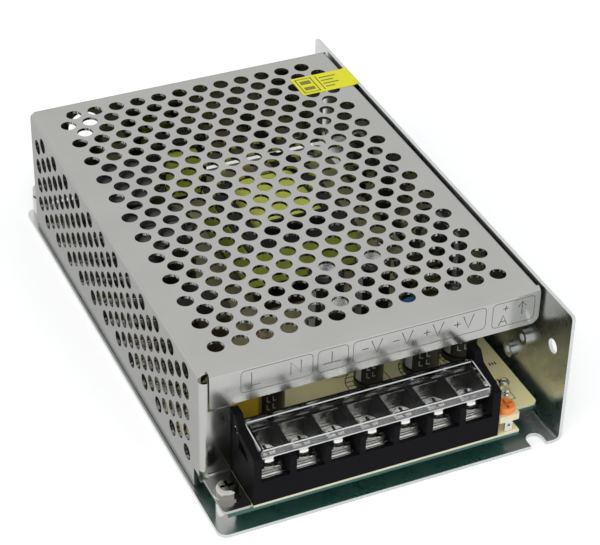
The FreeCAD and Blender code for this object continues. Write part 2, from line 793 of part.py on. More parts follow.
def carriers():
    places = standoff_places()
    standoffs = [standoff(x, y, BOARD_BOTTOM) for x, y in places + [(FOOT_SCREW_X, FRONT_SCREW_Y)]]
    save("board_standoffs", standoffs + [standoff(FOOT_SCREW_X, REAR_SCREW_Y, BOARD_TOP)])
    reach = BOARD_SHEET + SCREW_BITE
    save("board_screws", [case_screw(x, y, BOARD_TOP, reach) for x, y in places])
    foot_top = BOARD_TOP + COVER_SHEET
    washer = post(FOOT_SCREW_X, FRONT_SCREW_Y, foot_top, WASHER_RADIUS, WASHER_SHEET)
    bore = post(FOOT_SCREW_X, FRONT_SCREW_Y, foot_top, SCREW_RADIUS + SCREW_CLEARANCE, WASHER_SHEET)
    save("front_foot_washer", washer.cut(bore))
    front_seat = foot_top + WASHER_SHEET
    front_screw = case_screw(FOOT_SCREW_X, FRONT_SCREW_Y, front_seat, WASHER_SHEET + COVER_SHEET + reach)
    rear_screw = case_screw(FOOT_SCREW_X, REAR_SCREW_Y, foot_top, COVER_SHEET + SCREW_BITE)
    save("foot_screws", [front_screw, rear_screw])


def case_screw(x, y, seat, reach):
    return pan_screw(x, y, seat, reach, STANDOFF_BORE - THREAD_FIT, PAN_HEAD_RADIUS, PAN_HEAD_HEIGHT)


def cover_side_screws():
    screws = []
    depth = CHASSIS_SHEET * 0.6
    thin = RECESS_WIDTH / 2
    wide = RECESS_REACH * 0.8
    for y, z in side_screw_places():
        small = FLUSH_HEAD_RADIUS - CHASSIS_SHEET
        head = Part.makeCone(small, FLUSH_HEAD_RADIUS, CHASSIS_SHEET, V(WALL_INSIDE, y, z), ALONG_X)
        start = V(WALL_INSIDE - COVER_WALL_GAP - COVER_SHEET - SIDE_SCREW_REACH, y, z)
        shank = rod(start, ALONG_X, SCREW_RADIUS, WALL_INSIDE - start.x + CHASSIS_SHEET / 2)
        bars = [
            box(RIGHT - depth, RIGHT + 1, y - wide, y + wide, z - thin, z + thin),
            box(RIGHT - depth, RIGHT + 1, y - thin, y + thin, z - wide, z + wide),
        ]
        screws.append(head.fuse(shank).cut(bars[0].fuse(bars[1])))
    return screws


# Terminal block
def end_wall(x0, x1, outside):
    """End wall with its ear, the lid's pivot bore and a shallow pocket in its outer face."""
    shoulder = BLOCK_BACK - EAR_LENGTH
    profile = [
        (BLOCK_FRONT, 0),
        (BLOCK_FRONT, END_FRONT_HEIGHT),
        (shoulder, END_SHOULDER_HEIGHT),
        (shoulder + EAR_SLOPE, END_EAR_HEIGHT),
        (BLOCK_BACK, END_EAR_HEIGHT),
        (BLOCK_BACK, 0),
    ]
    wall = prism([V(x0, y, BOARD_TOP + z) for y, z in profile], V(x1 - x0, 0, 0))
    pivot = V(x0 - 1, LID_AXIS_Y, LID_AXIS_Z)
    wall = wall.cut(rod(pivot, ALONG_X, LID_PIN_RADIUS + LID_PIN_RUN, x1 - x0 + 2))
    pocket_front = BLOCK_FRONT + POCKET_INSET
    pocket_rear = shoulder - POCKET_REAR_GAP
    pocket = [
        (pocket_front, END_FRONT_HEIGHT - POCKET_DROP),
        (pocket_front + POCKET_SLOPE, END_FRONT_HEIGHT - POCKET_SLOPE),
        (pocket_rear, END_FRONT_HEIGHT),
        (pocket_rear, END_FRONT_HEIGHT - POCKET_DROP),
    ]
    start = x0 - 1 if outside < 0 else x1 - POCKET_DEPTH
    return wall.cut(prism([V(start, y, BOARD_TOP + z) for y, z in pocket], V(1 + POCKET_DEPTH, 0, 0)))


def terminal_block_body():
    front = BLOCK_FRONT
    back = BLOCK_BACK
    pieces = [
        box(BLOCK_LEFT, BLOCK_RIGHT, front, back, BOARD_TOP, BOARD_TOP + BLOCK_FLOOR),
        box(BLOCK_LEFT, BLOCK_RIGHT, front, front + LIP_SHEET, BOARD_TOP, BOARD_TOP + BLOCK_LIP),
        box(BLOCK_LEFT, BLOCK_RIGHT, back - BACK_SHEET, back, BOARD_TOP, BOARD_TOP + BACK_HEIGHT),
        end_wall(BLOCK_LEFT, BLOCK_LEFT + END_WALL, -1),
        end_wall(BLOCK_RIGHT - END_WALL, BLOCK_RIGHT, 1),
    ]
    for x in CELL_PLACES[1:]:
        rib_right = x - CELL_HALF
        pieces.append(box(rib_right - RIB, rib_right, front, back, BOARD_TOP, BOARD_TOP + RIB_HEIGHT))
    bore_bottom = CONTACT_TOP - CONTACT_SHEET - TERMINAL_SHANK
    bore_radius = TERMINAL_SCREW_RADIUS + NUT_CLEARANCE
    bores = [post(x, TERMINAL_SCREW_Y, bore_bottom, bore_radius, HEIGHT) for x in CELL_PLACES]
    return joined(pieces).cut(Part.makeCompound(bores))


def terminal_contact(x):
    """Plated strip on the cell floor that turns up against the back wall."""
    half = CONTACT_SHEET / 2
    back = BLOCK_BACK - BACK_SHEET - half
    strip = folded(
        [
            V(x - CONTACT_WIDTH / 2, BLOCK_FRONT + LIP_SHEET, CONTACT_TOP - half),
            V(x - CONTACT_WIDTH / 2, back, CONTACT_TOP - half),
            V(x - CONTACT_WIDTH / 2, back, CONTACT_TOP + CONTACT_RISE),
        ],
        CONTACT_SHEET,
        CONTACT_BEND,
        V(CONTACT_WIDTH, 0, 0),
    )
    return strip.cut(post(x, TERMINAL_SCREW_Y, 0, TERMINAL_SCREW_RADIUS + TERMINAL_RUN, HEIGHT))


def clamp(x):
    """Square clamp washer with a round lock washer on it."""
    plate = block(x, TERMINAL_SCREW_Y, CONTACT_TOP, CLAMP_WIDTH, CLAMP_DEPTH, CLAMP_SHEET)
    plate = rounded_edges(plate, CLAMP_CORNER, lambda edge: is_along(edge, UP))
    lock = post(x, TERMINAL_SCREW_Y, CONTACT_TOP + CLAMP_SHEET, CLAMP_LOCK_RADIUS, CLAMP_LOCK_HEIGHT)
    return plate.fuse(lock).cut(post(x, TERMINAL_SCREW_Y, 0, TERMINAL_SCREW_RADIUS + TERMINAL_RUN, HEIGHT))


def terminal_screw(x):
    reach = CLAMP_TOP - CONTACT_TOP + TERMINAL_SHANK
    head = (TERMINAL_HEAD_RADIUS, TERMINAL_HEAD_HEIGHT)
    return pan_screw(x, TERMINAL_SCREW_Y, CLAMP_TOP, reach, TERMINAL_SCREW_RADIUS, *head)


def terminal_lid():
    """Clear tray-shaped lid on two pins, sloping down to the front as it rests."""
    left = BLOCK_LEFT + END_WALL + LID_END_GAP
    right = BLOCK_RIGHT - END_WALL - LID_END_GAP
    front = LID_AXIS_Y - LID_LENGTH
    rear = LID_AXIS_Y + LID_TAIL
    base = LID_AXIS_Z - LID_RIM
    tray = box(left, right, front, rear, base, LID_AXIS_Z + LID_SHEET)
    tray = rounded_edges(tray, LID_CORNER, lambda edge: is_along(edge, UP))
    rim = LID_RIM_SHEET
    hollow = box(left + rim, right - rim, front + rim, rear - rim, base - 1, LID_AXIS_Z)
    tray = tray.cut(hollow)
    pins = [
        rod(V(left, LID_AXIS_Y, LID_AXIS_Z), V(-1, 0, 0), LID_PIN_RADIUS, LID_PIN_LENGTH),
        rod(V(right, LID_AXIS_Y, LID_AXIS_Z), ALONG_X, LID_PIN_RADIUS, LID_PIN_LENGTH),
    ]
    lid = tray.multiFuse(pins)
    lid.rotate(V(0, LID_AXIS_Y, LID_AXIS_Z), ALONG_X, LID_SLOPE)
    return lid


# Trimmer and lamp
def trimmer():
    half = TRIMMER_SIDE / 2
    x = BLOCK_RIGHT + TRIMMER_GAP + half
    y = TONGUE_FRONT + TRIMMER_FRONT_INSET + half
    base_z = BOARD_TOP + TRIMMER_LEG_HEIGHT
    base = block(x, y, base_z, TRIMMER_SIDE, TRIMMER_SIDE, TRIMMER_BASE_SHEET)
    save("trimmer_base", rounded_edges(base, TRIMMER_LEG_SHEET, lambda edge: is_along(edge, UP)))
    legs = []
    for side, end, width in ((0, -1, WIDE_LEG), (-1, 1, NARROW_LEG), (1, 1, NARROW_LEG)):
        leg_x = x + side * TRIMMER_LEG_SIDE
        leg_y = y + end * (half - TRIMMER_LEG_SHEET)
        leg = block(leg_x, leg_y, BOARD_TOP, width, TRIMMER_LEG_SHEET, TRIMMER_LEG_HEIGHT)
        window_z = BOARD_TOP + TRIMMER_LEG_HEIGHT / 2
        legs.append(leg.cut(block(leg_x, leg_y, window_z, LEG_WINDOW, half, LEG_WINDOW)))
    rotor_z = base_z + TRIMMER_BASE_SHEET
    rotor = post(x, y, rotor_z, TRIMMER_ROTOR_RADIUS, TRIMMER_ROTOR_HEIGHT)
    top = rotor_z + TRIMMER_ROTOR_HEIGHT
    rotor = rounded_edges(rotor, TRIMMER_ROTOR_EDGE, lambda edge: abs(edge.BoundBox.ZMin - top) < 1e-6)
    save("trimmer_rotor", rotor.cut(cross_recess(x, y, top)))
    return legs


def lamp():
    x = (BLOCK_RIGHT + BOARD_RIGHT) / 2 + LAMP_OFFSET
    y = BOARD_SHOULDER + LAMP_FROM_SHOULDER
    base = BOARD_TOP + LAMP_STAND
    barrel_height = LAMP_HEIGHT - LAMP_RADIUS
    rim = post(x, y, base, LAMP_RADIUS + LAMP_RIM, LAMP_RIM_HEIGHT)
    barrel = post(x, y, base, LAMP_RADIUS, barrel_height)
    dome = Part.makeSphere(LAMP_RADIUS, V(x, y, base + barrel_height))
    save("power_led", joined([rim, barrel, dome]))
    return [block(x + side * GRID, y, BOARD_TOP, LAMP_LEG, LAMP_LEG, LAMP_STAND) for side in (-1, 1)]


def label_sticker():
    """Thin sticker on the cover's top that steps up onto the top edge of the chassis wall."""
    half = STICKER_SHEET / 2
    low = COVER_TOP + half
    high = HEIGHT + half
    front = COVER_REAR - STICKER_FROM_REAR
    path = [
        V(RIGHT - STICKER_REACH, front, low),
        V(WALL_INSIDE - STICKER_STEP, front, low),
        V(WALL_INSIDE, front, high),
        V(RIGHT - STICKER_EDGE, front, high),
    ]
    return folded(path, STICKER_SHEET, STICKER_BEND, V(0, STICKER_WIDTH, 0))


# Main transformer
def transformer():
    x = from_middle(5.5)
    y = from_centre(10)
    base = BOARD_TOP + CORE_LIFT
    ring = block(x, y, base, CORE_WIDTH, CORE_LENGTH, CORE_HEIGHT)
    ring = rounded_edges(ring, CORE_CORNER, lambda edge: is_along(edge, UP))
    window_length = CORE_LENGTH - 2 * CORE_YOKE
    ring = ring.cut(block(x, y, base, CORE_WIDTH - 2 * CORE_LEG, window_length, CORE_HEIGHT))
    middle_z = base + CORE_HEIGHT / 2
    limb = rod(V(x, y - window_length / 2 - 1, middle_z), ALONG_Y, CORE_MIDDLE / 2, window_length + 2)
    save("transformer_core", joined([ring, limb]))

    tape_z = base + TAPE_EDGE
    tape_height = CORE_HEIGHT - 2 * TAPE_EDGE
    skin = 2 * CORE_TAPE
    outer = block(x, y, tape_z, CORE_WIDTH + skin, CORE_LENGTH + skin, tape_height)
    outer = rounded_edges(outer, CORE_CORNER + CORE_TAPE, lambda edge: is_along(edge, UP))
    inner = block(x, y, tape_z, CORE_WIDTH, CORE_LENGTH, tape_height)
    inner = rounded_edges(inner, CORE_CORNER, lambda edge: is_along(edge, UP))
    save("transformer_tape", outer.cut(inner))

    coil_length = window_length - 2 * BOBBIN_FLANGE - COIL_GAP
    winding_base = BOARD_TOP + WINDING_LIFT
    coil = block(x, y, winding_base, WINDING_WIDTH, coil_length, WINDING_HEIGHT)
    coil = rounded_edges(coil, WINDING_CORNER, lambda edge: is_along(edge, ALONG_Y))
    tube_radius = CORE_MIDDLE / 2 + BOBBIN_WALL
    bore = rod(V(x, y - coil_length, middle_z), ALONG_Y, tube_radius, 2 * coil_length)
    save("transformer_winding", coil.cut(bore))

    bobbin = []
    foot_centre = (CORE_LENGTH - BOBBIN_FOOT) / 2
    shelf_depth = (CORE_LENGTH - coil_length) / 2
    shelf_z = winding_base - BOBBIN_FLANGE
    flange_z = winding_base - BOBBIN_STAND
    flange_width = WINDING_WIDTH + BOBBIN_FLANGE
    flange_height = WINDING_HEIGHT + BOBBIN_STAND
    for side in (-1, 1):
        flange_y = y + side * (coil_length + BOBBIN_FLANGE) / 2
        bobbin.append(block(x, flange_y, flange_z, flange_width, BOBBIN_FLANGE, flange_height))
        foot_y = y + side * foot_centre
        foot_z = BOARD_TOP + BOBBIN_STAND
        bobbin.append(block(x, foot_y, foot_z, WINDING_WIDTH + BOBBIN_FOOT, BOBBIN_FOOT, BOBBIN_FOOT_HEIGHT))
        shelf_y = y + side * (coil_length + shelf_depth) / 2
        bobbin.append(block(x, shelf_y, shelf_z, WINDING_WIDTH, shelf_depth, BOBBIN_FLANGE))
    tube_length = coil_length + 2 * BOBBIN_FLANGE
    tube = rod(V(x, y - tube_length / 2, middle_z), ALONG_Y, tube_radius, tube_length)
    clear = rod(V(x, y - coil_length, middle_z), ALONG_Y, CORE_MIDDLE / 2 + BOBBIN_FIT, 2 * coil_length)
    save("transformer_bobbin", joined(bobbin + [tube]).cut(clear))

    pins = []
    for side in (-1, 1):
        for number in range(BOBBIN_PINS):
            pin_x = x + (number - (BOBBIN_PINS - 1) / 2) * BOBBIN_PIN_PITCH
            pins.append(post(pin_x, y + side * foot_centre, BOARD_TOP, BOBBIN_PIN, BOBBIN_STAND))
    return pins


# Components that stand on the board
def can(x, y, radius, height):
    """Electrolytic capacitor with a groove near its foot, a bevelled top edge and a cross-shaped vent."""
    body = post(x, y, BOARD_TOP, radius, height)
    top = BOARD_TOP + height
    body = cut_edges(body, SLEEVE_EDGE, lambda edge: abs(edge.BoundBox.ZMin - top) < 1e-6)
    groove_z = BOARD_TOP + SLEEVE_GROOVE_RISE
    groove = post(x, y, groove_z, radius + 1, SLEEVE_GROOVE_WIDTH)
    groove = groove.cut(post(x, y, groove_z, radius - SLEEVE_GROOVE, SLEEVE_GROOVE_WIDTH))
    vent = [
        block(x, y, top - VENT_DEPTH, VENT_WIDTH, 1.2 * radius, 1),
        block(x, y, top - VENT_DEPTH, 1.2 * radius, VENT_WIDTH, 1),
    ]
    return body.cut(groove.fuse(vent[0].fuse(vent[1])))


def disc(x, y, radius, thickness, stand):
    """Disc capacitor on two legs, its flat faces square to Y."""
    centre = V(x, y, BOARD_TOP + stand + radius)
    body = rod(centre - ALONG_Y * (thickness / 2), ALONG_Y, radius, thickness)
    body = body.makeChamfer(thickness * 0.3, [edge for edge in body.Edges if len(edge.Vertexes) == 1])
    legs = [post(x + side * LEAD_SPREAD, y, BOARD_TOP, LEAD_RADIUS, stand + radius) for side in (-1, 1)]
    return joined([body] + legs)


def boxed(x, y, width, depth, height, edge_size):
    body = block(x, y, BOARD_TOP, width, depth, height)
    return body.makeChamfer(edge_size, [edge for edge in body.Edges if edge.BoundBox.ZMax > BOARD_TOP + 0.1])


def axial(x, y, along, length, radius):
    """Axial part lying on the board between its two bent leads."""
    middle = V(x, y, BOARD_TOP + radius)
    body = rod(middle - along * (length / 2), along, radius, length)
    reach = length / 2 + WIRE_REACH
    lead = rod(middle - along * reach, along, WIRE_RADIUS, 2 * reach)
    feet = [V(x, y, BOARD_TOP) + along * (side * reach) for side in (-1, 1)]
    return joined([body, lead] + [rod(foot, UP, LEAD_RADIUS, radius + LEAD_RADIUS) for foot in feet])


def capacitors():
    front_cans = [
        can(from_middle(6.5), from_shoulder(20), SMALL_CAN_RADIUS, FRONT_SMALL_HEIGHT),
        can(from_right(17.5), from_shoulder(20), LARGE_CAN_RADIUS, FRONT_LARGE_HEIGHT),
        can(from_right(7.5), from_shoulder(21.5), LARGE_CAN_RADIUS, FRONT_LARGE_HEIGHT),
        can(from_left(19.5), from_shoulder(18.5), SMALL_CAN_RADIUS, INPUT_CAN_HEIGHT),
    ]
    save("front_capacitors", front_cans)
    output_cans = [
        can(from_middle(3.5), from_shoulder(36), OUTPUT_CAN_RADIUS, OUTPUT_CAN_HEIGHT),
        can(from_middle(14.5), from_shoulder(36), OUTPUT_CAN_RADIUS, OUTPUT_CAN_HEIGHT),
        can(from_middle(2), from_shoulder(27.5), SMALL_CAN_RADIUS, OUTPUT_SMALL_HEIGHT),
    ]
    save("output_capacitors", output_cans)
    bulk_x = BOARD_LEFT + BULK_MARGIN + BULK_RADIUS
    bulk_y = from_shoulder(60)
    bulk_height = COVER_TOP - COVER_SHEET - BULK_TOP_GAP - BOARD_TOP
    bulk_rows = [bulk_y, bulk_y + 2 * BULK_RADIUS + BULK_GAP]
    save("bulk_capacitors", [can(bulk_x, y, BULK_RADIUS, bulk_height) for y in bulk_rows])
    films = [
        boxed(from_left(13), from_shoulder(20.5), FILM_WIDTH, FILM_LENGTH, FILM_HEIGHT, FILM_EDGE),
        boxed(from_left(12.5), from_rear(8.5), FILM_LENGTH, FILM_WIDTH, FILM_HEIGHT, FILM_EDGE),
    ]
    save("film_capacitors", films)
    discs = [
        disc(from_right(17), from_shoulder(27), DISC_RADIUS, DISC_SHEET, DISC_STAND),
        disc(from_left(22.5), from_shoulder(27), SMALL_DISC_RADIUS, SMALL_DISC_SHEET, SMALL_DISC_STAND),
    ]
    save("blue_discs", discs)
    thermistor = disc(from_left(7), from_shoulder(31), THERMISTOR_RADIUS, THERMISTOR_SHEET, THERMISTOR_STAND)
    save("thermistor", thermistor)


def line_choke():
    """Two-winding choke: a closed core stands upright with a bobbin on each long limb."""
    window = CHOKE_WIDTH - 2 * CHOKE_LIMB
    coil_radius = (window - COIL_GAP) / 2 + CHOKE_LIMB / 2
    limb_reach = (CHOKE_WIDTH - CHOKE_LIMB) / 2
    x = BOARD_LEFT + CHOKE_MARGIN + coil_radius + limb_reach
    y = from_shoulder(39)
    base = BOARD_TOP + CHOKE_LIFT
    core = block(x, y, base, CHOKE_WIDTH, CHOKE_LIMB, CHOKE_HEIGHT)
    core = cut_edges(core, CHOKE_CORNER, lambda edge: is_along(edge, ALONG_Y))
    window_height = CHOKE_HEIGHT - 2 * CHOKE_LIMB
    core = core.cut(block(x, y, base + CHOKE_LIMB, window, 2 * CHOKE_LIMB, window_height))
    save("line_choke_core", core)
    windings = []
    coil_z = base + CHOKE_LIMB + COIL_END_GAP
    for side in (-1, 1):
        coil_x = x + side * limb_reach
        coil = post(coil_x, y, coil_z, coil_radius, window_height - 2 * COIL_END_GAP)
        bore = CHOKE_LIMB + 2 * COIL_FIT
        windings.append(coil.cut(block(coil_x, y, base, bore, bore, CHOKE_HEIGHT)))
    save("line_choke_windings", windings)
    save("line_choke_base", block(x, y, BOARD_TOP, CHOKE_WIDTH, CHOKE_FOOT, CHOKE_LIFT))


def output_inductor():
    """Ring core wound with heavy wire, standing on edge with its axis along X."""
    centre = V(from_right(9.5), from_shoulder(36), BOARD_TOP + INDUCTOR_RADIUS + INDUCTOR_WIRE)
    start = centre - ALONG_X * (INDUCTOR_WIDTH / 2)
    bore = rod(start, ALONG_X, INDUCTOR_BORE, INDUCTOR_WIDTH)
    save("output_inductor_core", rod(start, ALONG_X, INDUCTOR_RADIUS, INDUCTOR_WIDTH).cut(bore))
    wire = INDUCTOR_WIRE
    inner = math.sqrt(INDUCTOR_BORE ** 2 - (wire / 2) ** 2) - WIRE_FIT
    outer = INDUCTOR_RADIUS + WIRE_FIT
    half = INDUCTOR_WIDTH / 2 + WIRE_FIT
    turns = []
    for number in range(INDUCTOR_TURNS):
        step = (360 - INDUCTOR_OPEN) / (INDUCTOR_TURNS - 1)
        angle = INDUCTOR_OPEN / 2 + number * step - 90
        loop = box(-half - wire, half + wire, inner - wire, outer + wire, -wire / 2, wire / 2)
        loop = loop.cut(box(-half, half, inner, outer, -wire, wire))
        loop.rotate(V(0, 0, 0), ALONG_X, angle)
        loop.translate(centre)
        if number in (0, INDUCTOR_TURNS - 1):
            side = -1 if number == 0 else 1
            reach = (outer + inner) / 2
            leg_y = centre.y + math.cos(math.radians(angle)) * reach
            leg_top = centre.z + math.sin(math.radians(angle)) * reach
            leg_x = centre.x + side * (half + wire / 2)
            leg = block(leg_x, leg_y, BOARD_TOP, wire, wire, leg_top - BOARD_TOP)
            loop = joined([loop, leg])
        turns.append(loop)
    save("output_inductor_winding", turns)


def drive_transformer():
    x = from_middle(-4.5)
    y = from_rear(7.5)
    core = boxed(x, y, DRIVE_WIDTH, DRIVE_DEPTH, DRIVE_HEIGHT, DRIVE_EDGE)
    window_z = BOARD_TOP + DRIVE_FRAME
    window_height = DRIVE_HEIGHT - 2 * DRIVE_FRAME
    window = block(x, y, window_z, DRIVE_WIDTH - 2 * DRIVE_FRAME, 2 * DRIVE_DEPTH, window_height)
    limb = block(x, y, window_z - 1, DRIVE_LIMB, DRIVE_LIMB, window_height + 2)
    save("drive_transformer_core", joined([core.cut(window), limb]))
    coil_height = window_height - 2 * DRIVE_COIL_GAP
    coil = block(x, y, window_z + DRIVE_COIL_GAP, DRIVE_COIL_WIDTH, DRIVE_COIL_DEPTH, coil_height)
    bore = DRIVE_LIMB + 2 * COIL_FIT
    save("drive_transformer_winding", coil.cut(block(x, y, BOARD_TOP, bore, bore, DRIVE_HEIGHT)))


def wall_package(y, width, height):
    """Flat power package against the insulation pad, its three legs down to the board."""
    inner = WALL_INSIDE - PAD_SHEET
    low = BOARD_TOP + PACKAGE_LIFT
    body = box(inner - PACKAGE_SHEET, inner, y - width / 2, y + width / 2, low, low + height)
    body = cut_edges(
        body, PACKAGE_EDGE, lambda edge: is_along(edge, UP) and edge.BoundBox.XMax < inner - 0.1
    )
    legs = []
    leg_x = inner - PACKAGE_SHEET / 2
    leg_height = PACKAGE_LIFT + PACKAGE_LEG_BITE
    for number in (-1, 0, 1):
        leg_y = y + number * PACKAGE_LEG_PITCH
        legs.append(block(leg_x, leg_y, BOARD_TOP, PACKAGE_LEG_SHEET, PACKAGE_LEG, leg_height))
    return joined([body] + legs)


def wall_devices():
    rectifier = (from_centre(-7), RECTIFIER_WIDTH, RECTIFIER_HEIGHT)
    transistors = [(from_rear(steps), TRANSISTOR_WIDTH, TRANSISTOR_HEIGHT) for steps in (34, 23)]
    save("output_rectifier", wall_package(*rectifier))
    save("power_transistors", [wall_package(*place) for place in transistors])
    pads = []
    clips = []
    low = BOARD_TOP + PACKAGE_LIFT
    pad_x = WALL_INSIDE - PAD_SHEET
    clip_x = pad_x - PACKAGE_SHEET
    grip = CLIP_WIDTH / 2
    for y, width, height in [rectifier] + transistors:
        reach = width / 2 + PAD_MARGIN
        top = low + height + CLIP_TOP
        pads.append(box(pad_x, WALL_INSIDE, y - reach, y + reach, BOARD_TOP + PAD_LIFT, top))
        clips.append(box(clip_x - CLIP_SHEET, clip_x, y - grip, y + grip, low + CLIP_RISE, top))
    save("insulation_pads", pads)
    save("package_clips", clips)


def small_parts():
    save("bridge_rectifier", bridge())
    save("fuse_holder", fuse_clips())
    fuse = V(from_left(3.75), from_shoulder(19.5) - FUSE_LENGTH / 2, BOARD_TOP + FUSE_HEIGHT)
    save("fuse_tube", rod(fuse, ALONG_Y, FUSE_RADIUS, FUSE_LENGTH))
    chip_x = from_right(12.5)
    chip_y = from_rear(10.5)
    chip = block(chip_x, chip_y, BOARD_TOP, CHIP_WIDTH, CHIP_LENGTH, CHIP_HEIGHT)
    notch_z = BOARD_TOP + CHIP_HEIGHT - CHIP_NOTCH / 2
    notch = post(chip_x, chip_y + CHIP_LENGTH / 2, notch_z, CHIP_NOTCH, CHIP_NOTCH)
    save("controller_chip", chip.cut(notch))
    small = [
        (from_middle(-3.5), from_shoulder(16), ALONG_X),
        (from_middle(-3.5), from_shoulder(11), ALONG_X),
        (from_middle(13), from_shoulder(11.5), ALONG_X),
        (from_right(22), from_rear(7.5), ALONG_Y),
        (from_right(19), from_rear(7.5), ALONG_Y),
    ]
    large = [
        (from_right(25), from_rear(20), ALONG_Y),
        (from_right(20.5), from_rear(20), ALONG_Y),
        (from_left(27.5), from_shoulder(43), ALONG_Y),
    ]
    resistors = [axial(x, y, along, RESISTOR_LENGTH, RESISTOR_RADIUS) for x, y, along in small]
    resistors += [axial(x, y, along, POWER_RESISTOR_LENGTH, POWER_RESISTOR_RADIUS) for x, y, along in large]
    save("resistors", resistors)
    places = [
        (from_left(26), from_rear(23)),
        (from_middle(0.5), from_rear(20)),
        (from_left(27.5), from_shoulder(29)),
        (from_right(12.5), from_rear(28)),
    ]
    save("diodes", [axial(x, y, ALONG_Y, DIODE_LENGTH, DIODE_RADIUS) for x, y in places])


def bridge():
    """Four-legged bridge rectifier standing upright, one top corner cut away."""
    x = from_left(11)
    y = from_shoulder(46.5)
    left = x - BRIDGE_WIDTH / 2
    right = x + BRIDGE_WIDTH / 2
    low = BOARD_TOP + BRIDGE_STAND
    high = low + BRIDGE_HEIGHT
    outline = [
        V(left, y, low),
        V(right, y, low),
        V(right, y, high - BRIDGE_CORNER),
        V(right - BRIDGE_CORNER, y, high),
        V(left, y, high),
    ]
    body = prism(outline, V(0, BRIDGE_SHEET, 0))
    legs = []
    for number in range(4):
        leg_x = x + (number - 1.5) * BRIDGE_LEG_PITCH
        leg_y = y + BRIDGE_SHEET / 2
        legs.append(block(leg_x, leg_y, BOARD_TOP, BRIDGE_LEG, BRIDGE_LEG_SHEET, BRIDGE_STAND + 0.5))
    return joined([body] + legs)


def fuse_clips():
    x = from_left(3.75)
    clips = []
    for end in (-1, 1):
        y = from_shoulder(19.5) + end * FUSE_CLIP_SPREAD
        clip = block(x, y, BOARD_TOP, FUSE_CLIP_WIDTH, FUSE_CLIP_DEPTH, FUSE_HEIGHT + FUSE_CLIP_RISE)
        bore_start = V(x, y - FUSE_CLIP_DEPTH, BOARD_TOP + FUSE_HEIGHT)
        bore = rod(bore_start, ALONG_Y, FUSE_RADIUS + FUSE_FIT, 2 * FUSE_CLIP_DEPTH)
        mouth_width = FUSE_CLIP_WIDTH - 2 * FUSE_CLIP_SHEET
        mouth = block(x, y, BOARD_TOP + FUSE_HEIGHT, mouth_width, 2 * FUSE_CLIP_DEPTH, FUSE_HEIGHT)
        clips.append(clip.cut(bore.fuse(mouth)))
    return clips


def insulation_sheet():
    """Thin sheet on the chassis floor that keeps solder joints away from the metal."""
    sheet = box(
        LEFT + FILM_LEFT_MARGIN,
        WALL_INSIDE - FILM_RIGHT_MARGIN,
        FRONT + FILM_FRONT_MARGIN,
        REAR - FILM_REAR_MARGIN,
        CHASSIS_SHEET,
        CHASSIS_SHEET + FILM_SHEET,
    )
    places = standoff_places() + bottom_tap_places()
    hole_radius = STANDOFF_RADIUS + FILM_HOLE_MARGIN
    return sheet.cut(Part.makeCompound([post(x, y, 0, hole_radius, HEIGHT) for x, y in places]))


def main():
    os.makedirs("parts", exist_ok=True)
    save("base_chassis", base_chassis())
    save("mesh_cover", mesh_cover())
    save("circuit_board", circuit_board())
    carriers()
    save("cover_side_screws", cover_side_screws())
    save("terminal_block_body", terminal_block_body())
    save("terminal_contacts", [terminal_contact(x) for x in CELL_PLACES])
    for number, x in enumerate(CELL_PLACES, 1):
        save("clamp_" + str(number), clamp(x))
        save("terminal_screw_" + str(number), terminal_screw(x))
    save("terminal_lid", terminal_lid())
    save("label_sticker", label_sticker())
    save("component_leads", trimmer() + lamp() + transformer())
    capacitors()
    line_choke()
    output_inductor()
    drive_transformer()
    wall_devices()
    small_parts()
    save("insulation_sheet", insulation_sheet())


main()
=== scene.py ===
import json
import math
import bpy
from mathutils import Euler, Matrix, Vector


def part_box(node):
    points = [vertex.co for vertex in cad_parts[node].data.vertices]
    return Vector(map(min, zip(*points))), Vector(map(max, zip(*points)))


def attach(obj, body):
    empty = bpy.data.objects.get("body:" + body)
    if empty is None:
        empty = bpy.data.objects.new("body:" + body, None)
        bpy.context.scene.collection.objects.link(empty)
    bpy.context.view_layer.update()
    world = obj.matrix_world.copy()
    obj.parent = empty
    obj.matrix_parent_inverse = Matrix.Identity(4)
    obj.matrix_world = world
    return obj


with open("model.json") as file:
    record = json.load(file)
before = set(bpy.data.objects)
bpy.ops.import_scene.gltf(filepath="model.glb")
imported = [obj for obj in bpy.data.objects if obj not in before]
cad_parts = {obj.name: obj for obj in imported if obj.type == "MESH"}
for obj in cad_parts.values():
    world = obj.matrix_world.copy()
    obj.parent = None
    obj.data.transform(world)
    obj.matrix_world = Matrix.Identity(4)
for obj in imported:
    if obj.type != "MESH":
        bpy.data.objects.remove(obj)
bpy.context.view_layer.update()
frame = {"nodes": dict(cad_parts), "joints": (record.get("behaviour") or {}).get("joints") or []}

MM = 0.001
NODES = frame["nodes"]
JOINTS = {joint["name"]: joint for joint in frame["joints"]}
scene = bpy.context.scene


# Places on the part, in millimetres and in the frame's axes
def box_mm(node_name):
    """Lowest and highest corners of a CAD node."""
    return [[round(c / MM, 3) for c in corner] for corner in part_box(node_name)]


def joint_mm(joint_name):
    return [round(c / MM, 3) for c in JOINTS[joint_name]["pos_m"]]


BOARD_LOW, BOARD_HIGH = box_mm("circuit_board")
BOARD_BOTTOM = BOARD_LOW[2]
BOARD_TOP = BOARD_HIGH[2]
# Each can: x, y, radius, height above the board
FRONT_CANS = (
    (7.8, -45.2, 4.0, 17.0),
    (23.58, -45.2, 5.0, 20.0),
    (36.28, -43.3, 5.0, 20.0),
    (-21.94, -47.1, 4.0, 15.0),
)
OUTPUT_CANS = ((4.0, -24.88, 5.0, 25.0), (17.97, -24.88, 5.0, 25.0), (2.09, -35.68, 4.0, 22.0))
BULK_CANS = ((-33.4, 5.6, 11.0, 30.0), (-33.4, 29.0, 11.0, 30.0))
CANS = FRONT_CANS + OUTPUT_CANS + BULK_CANS
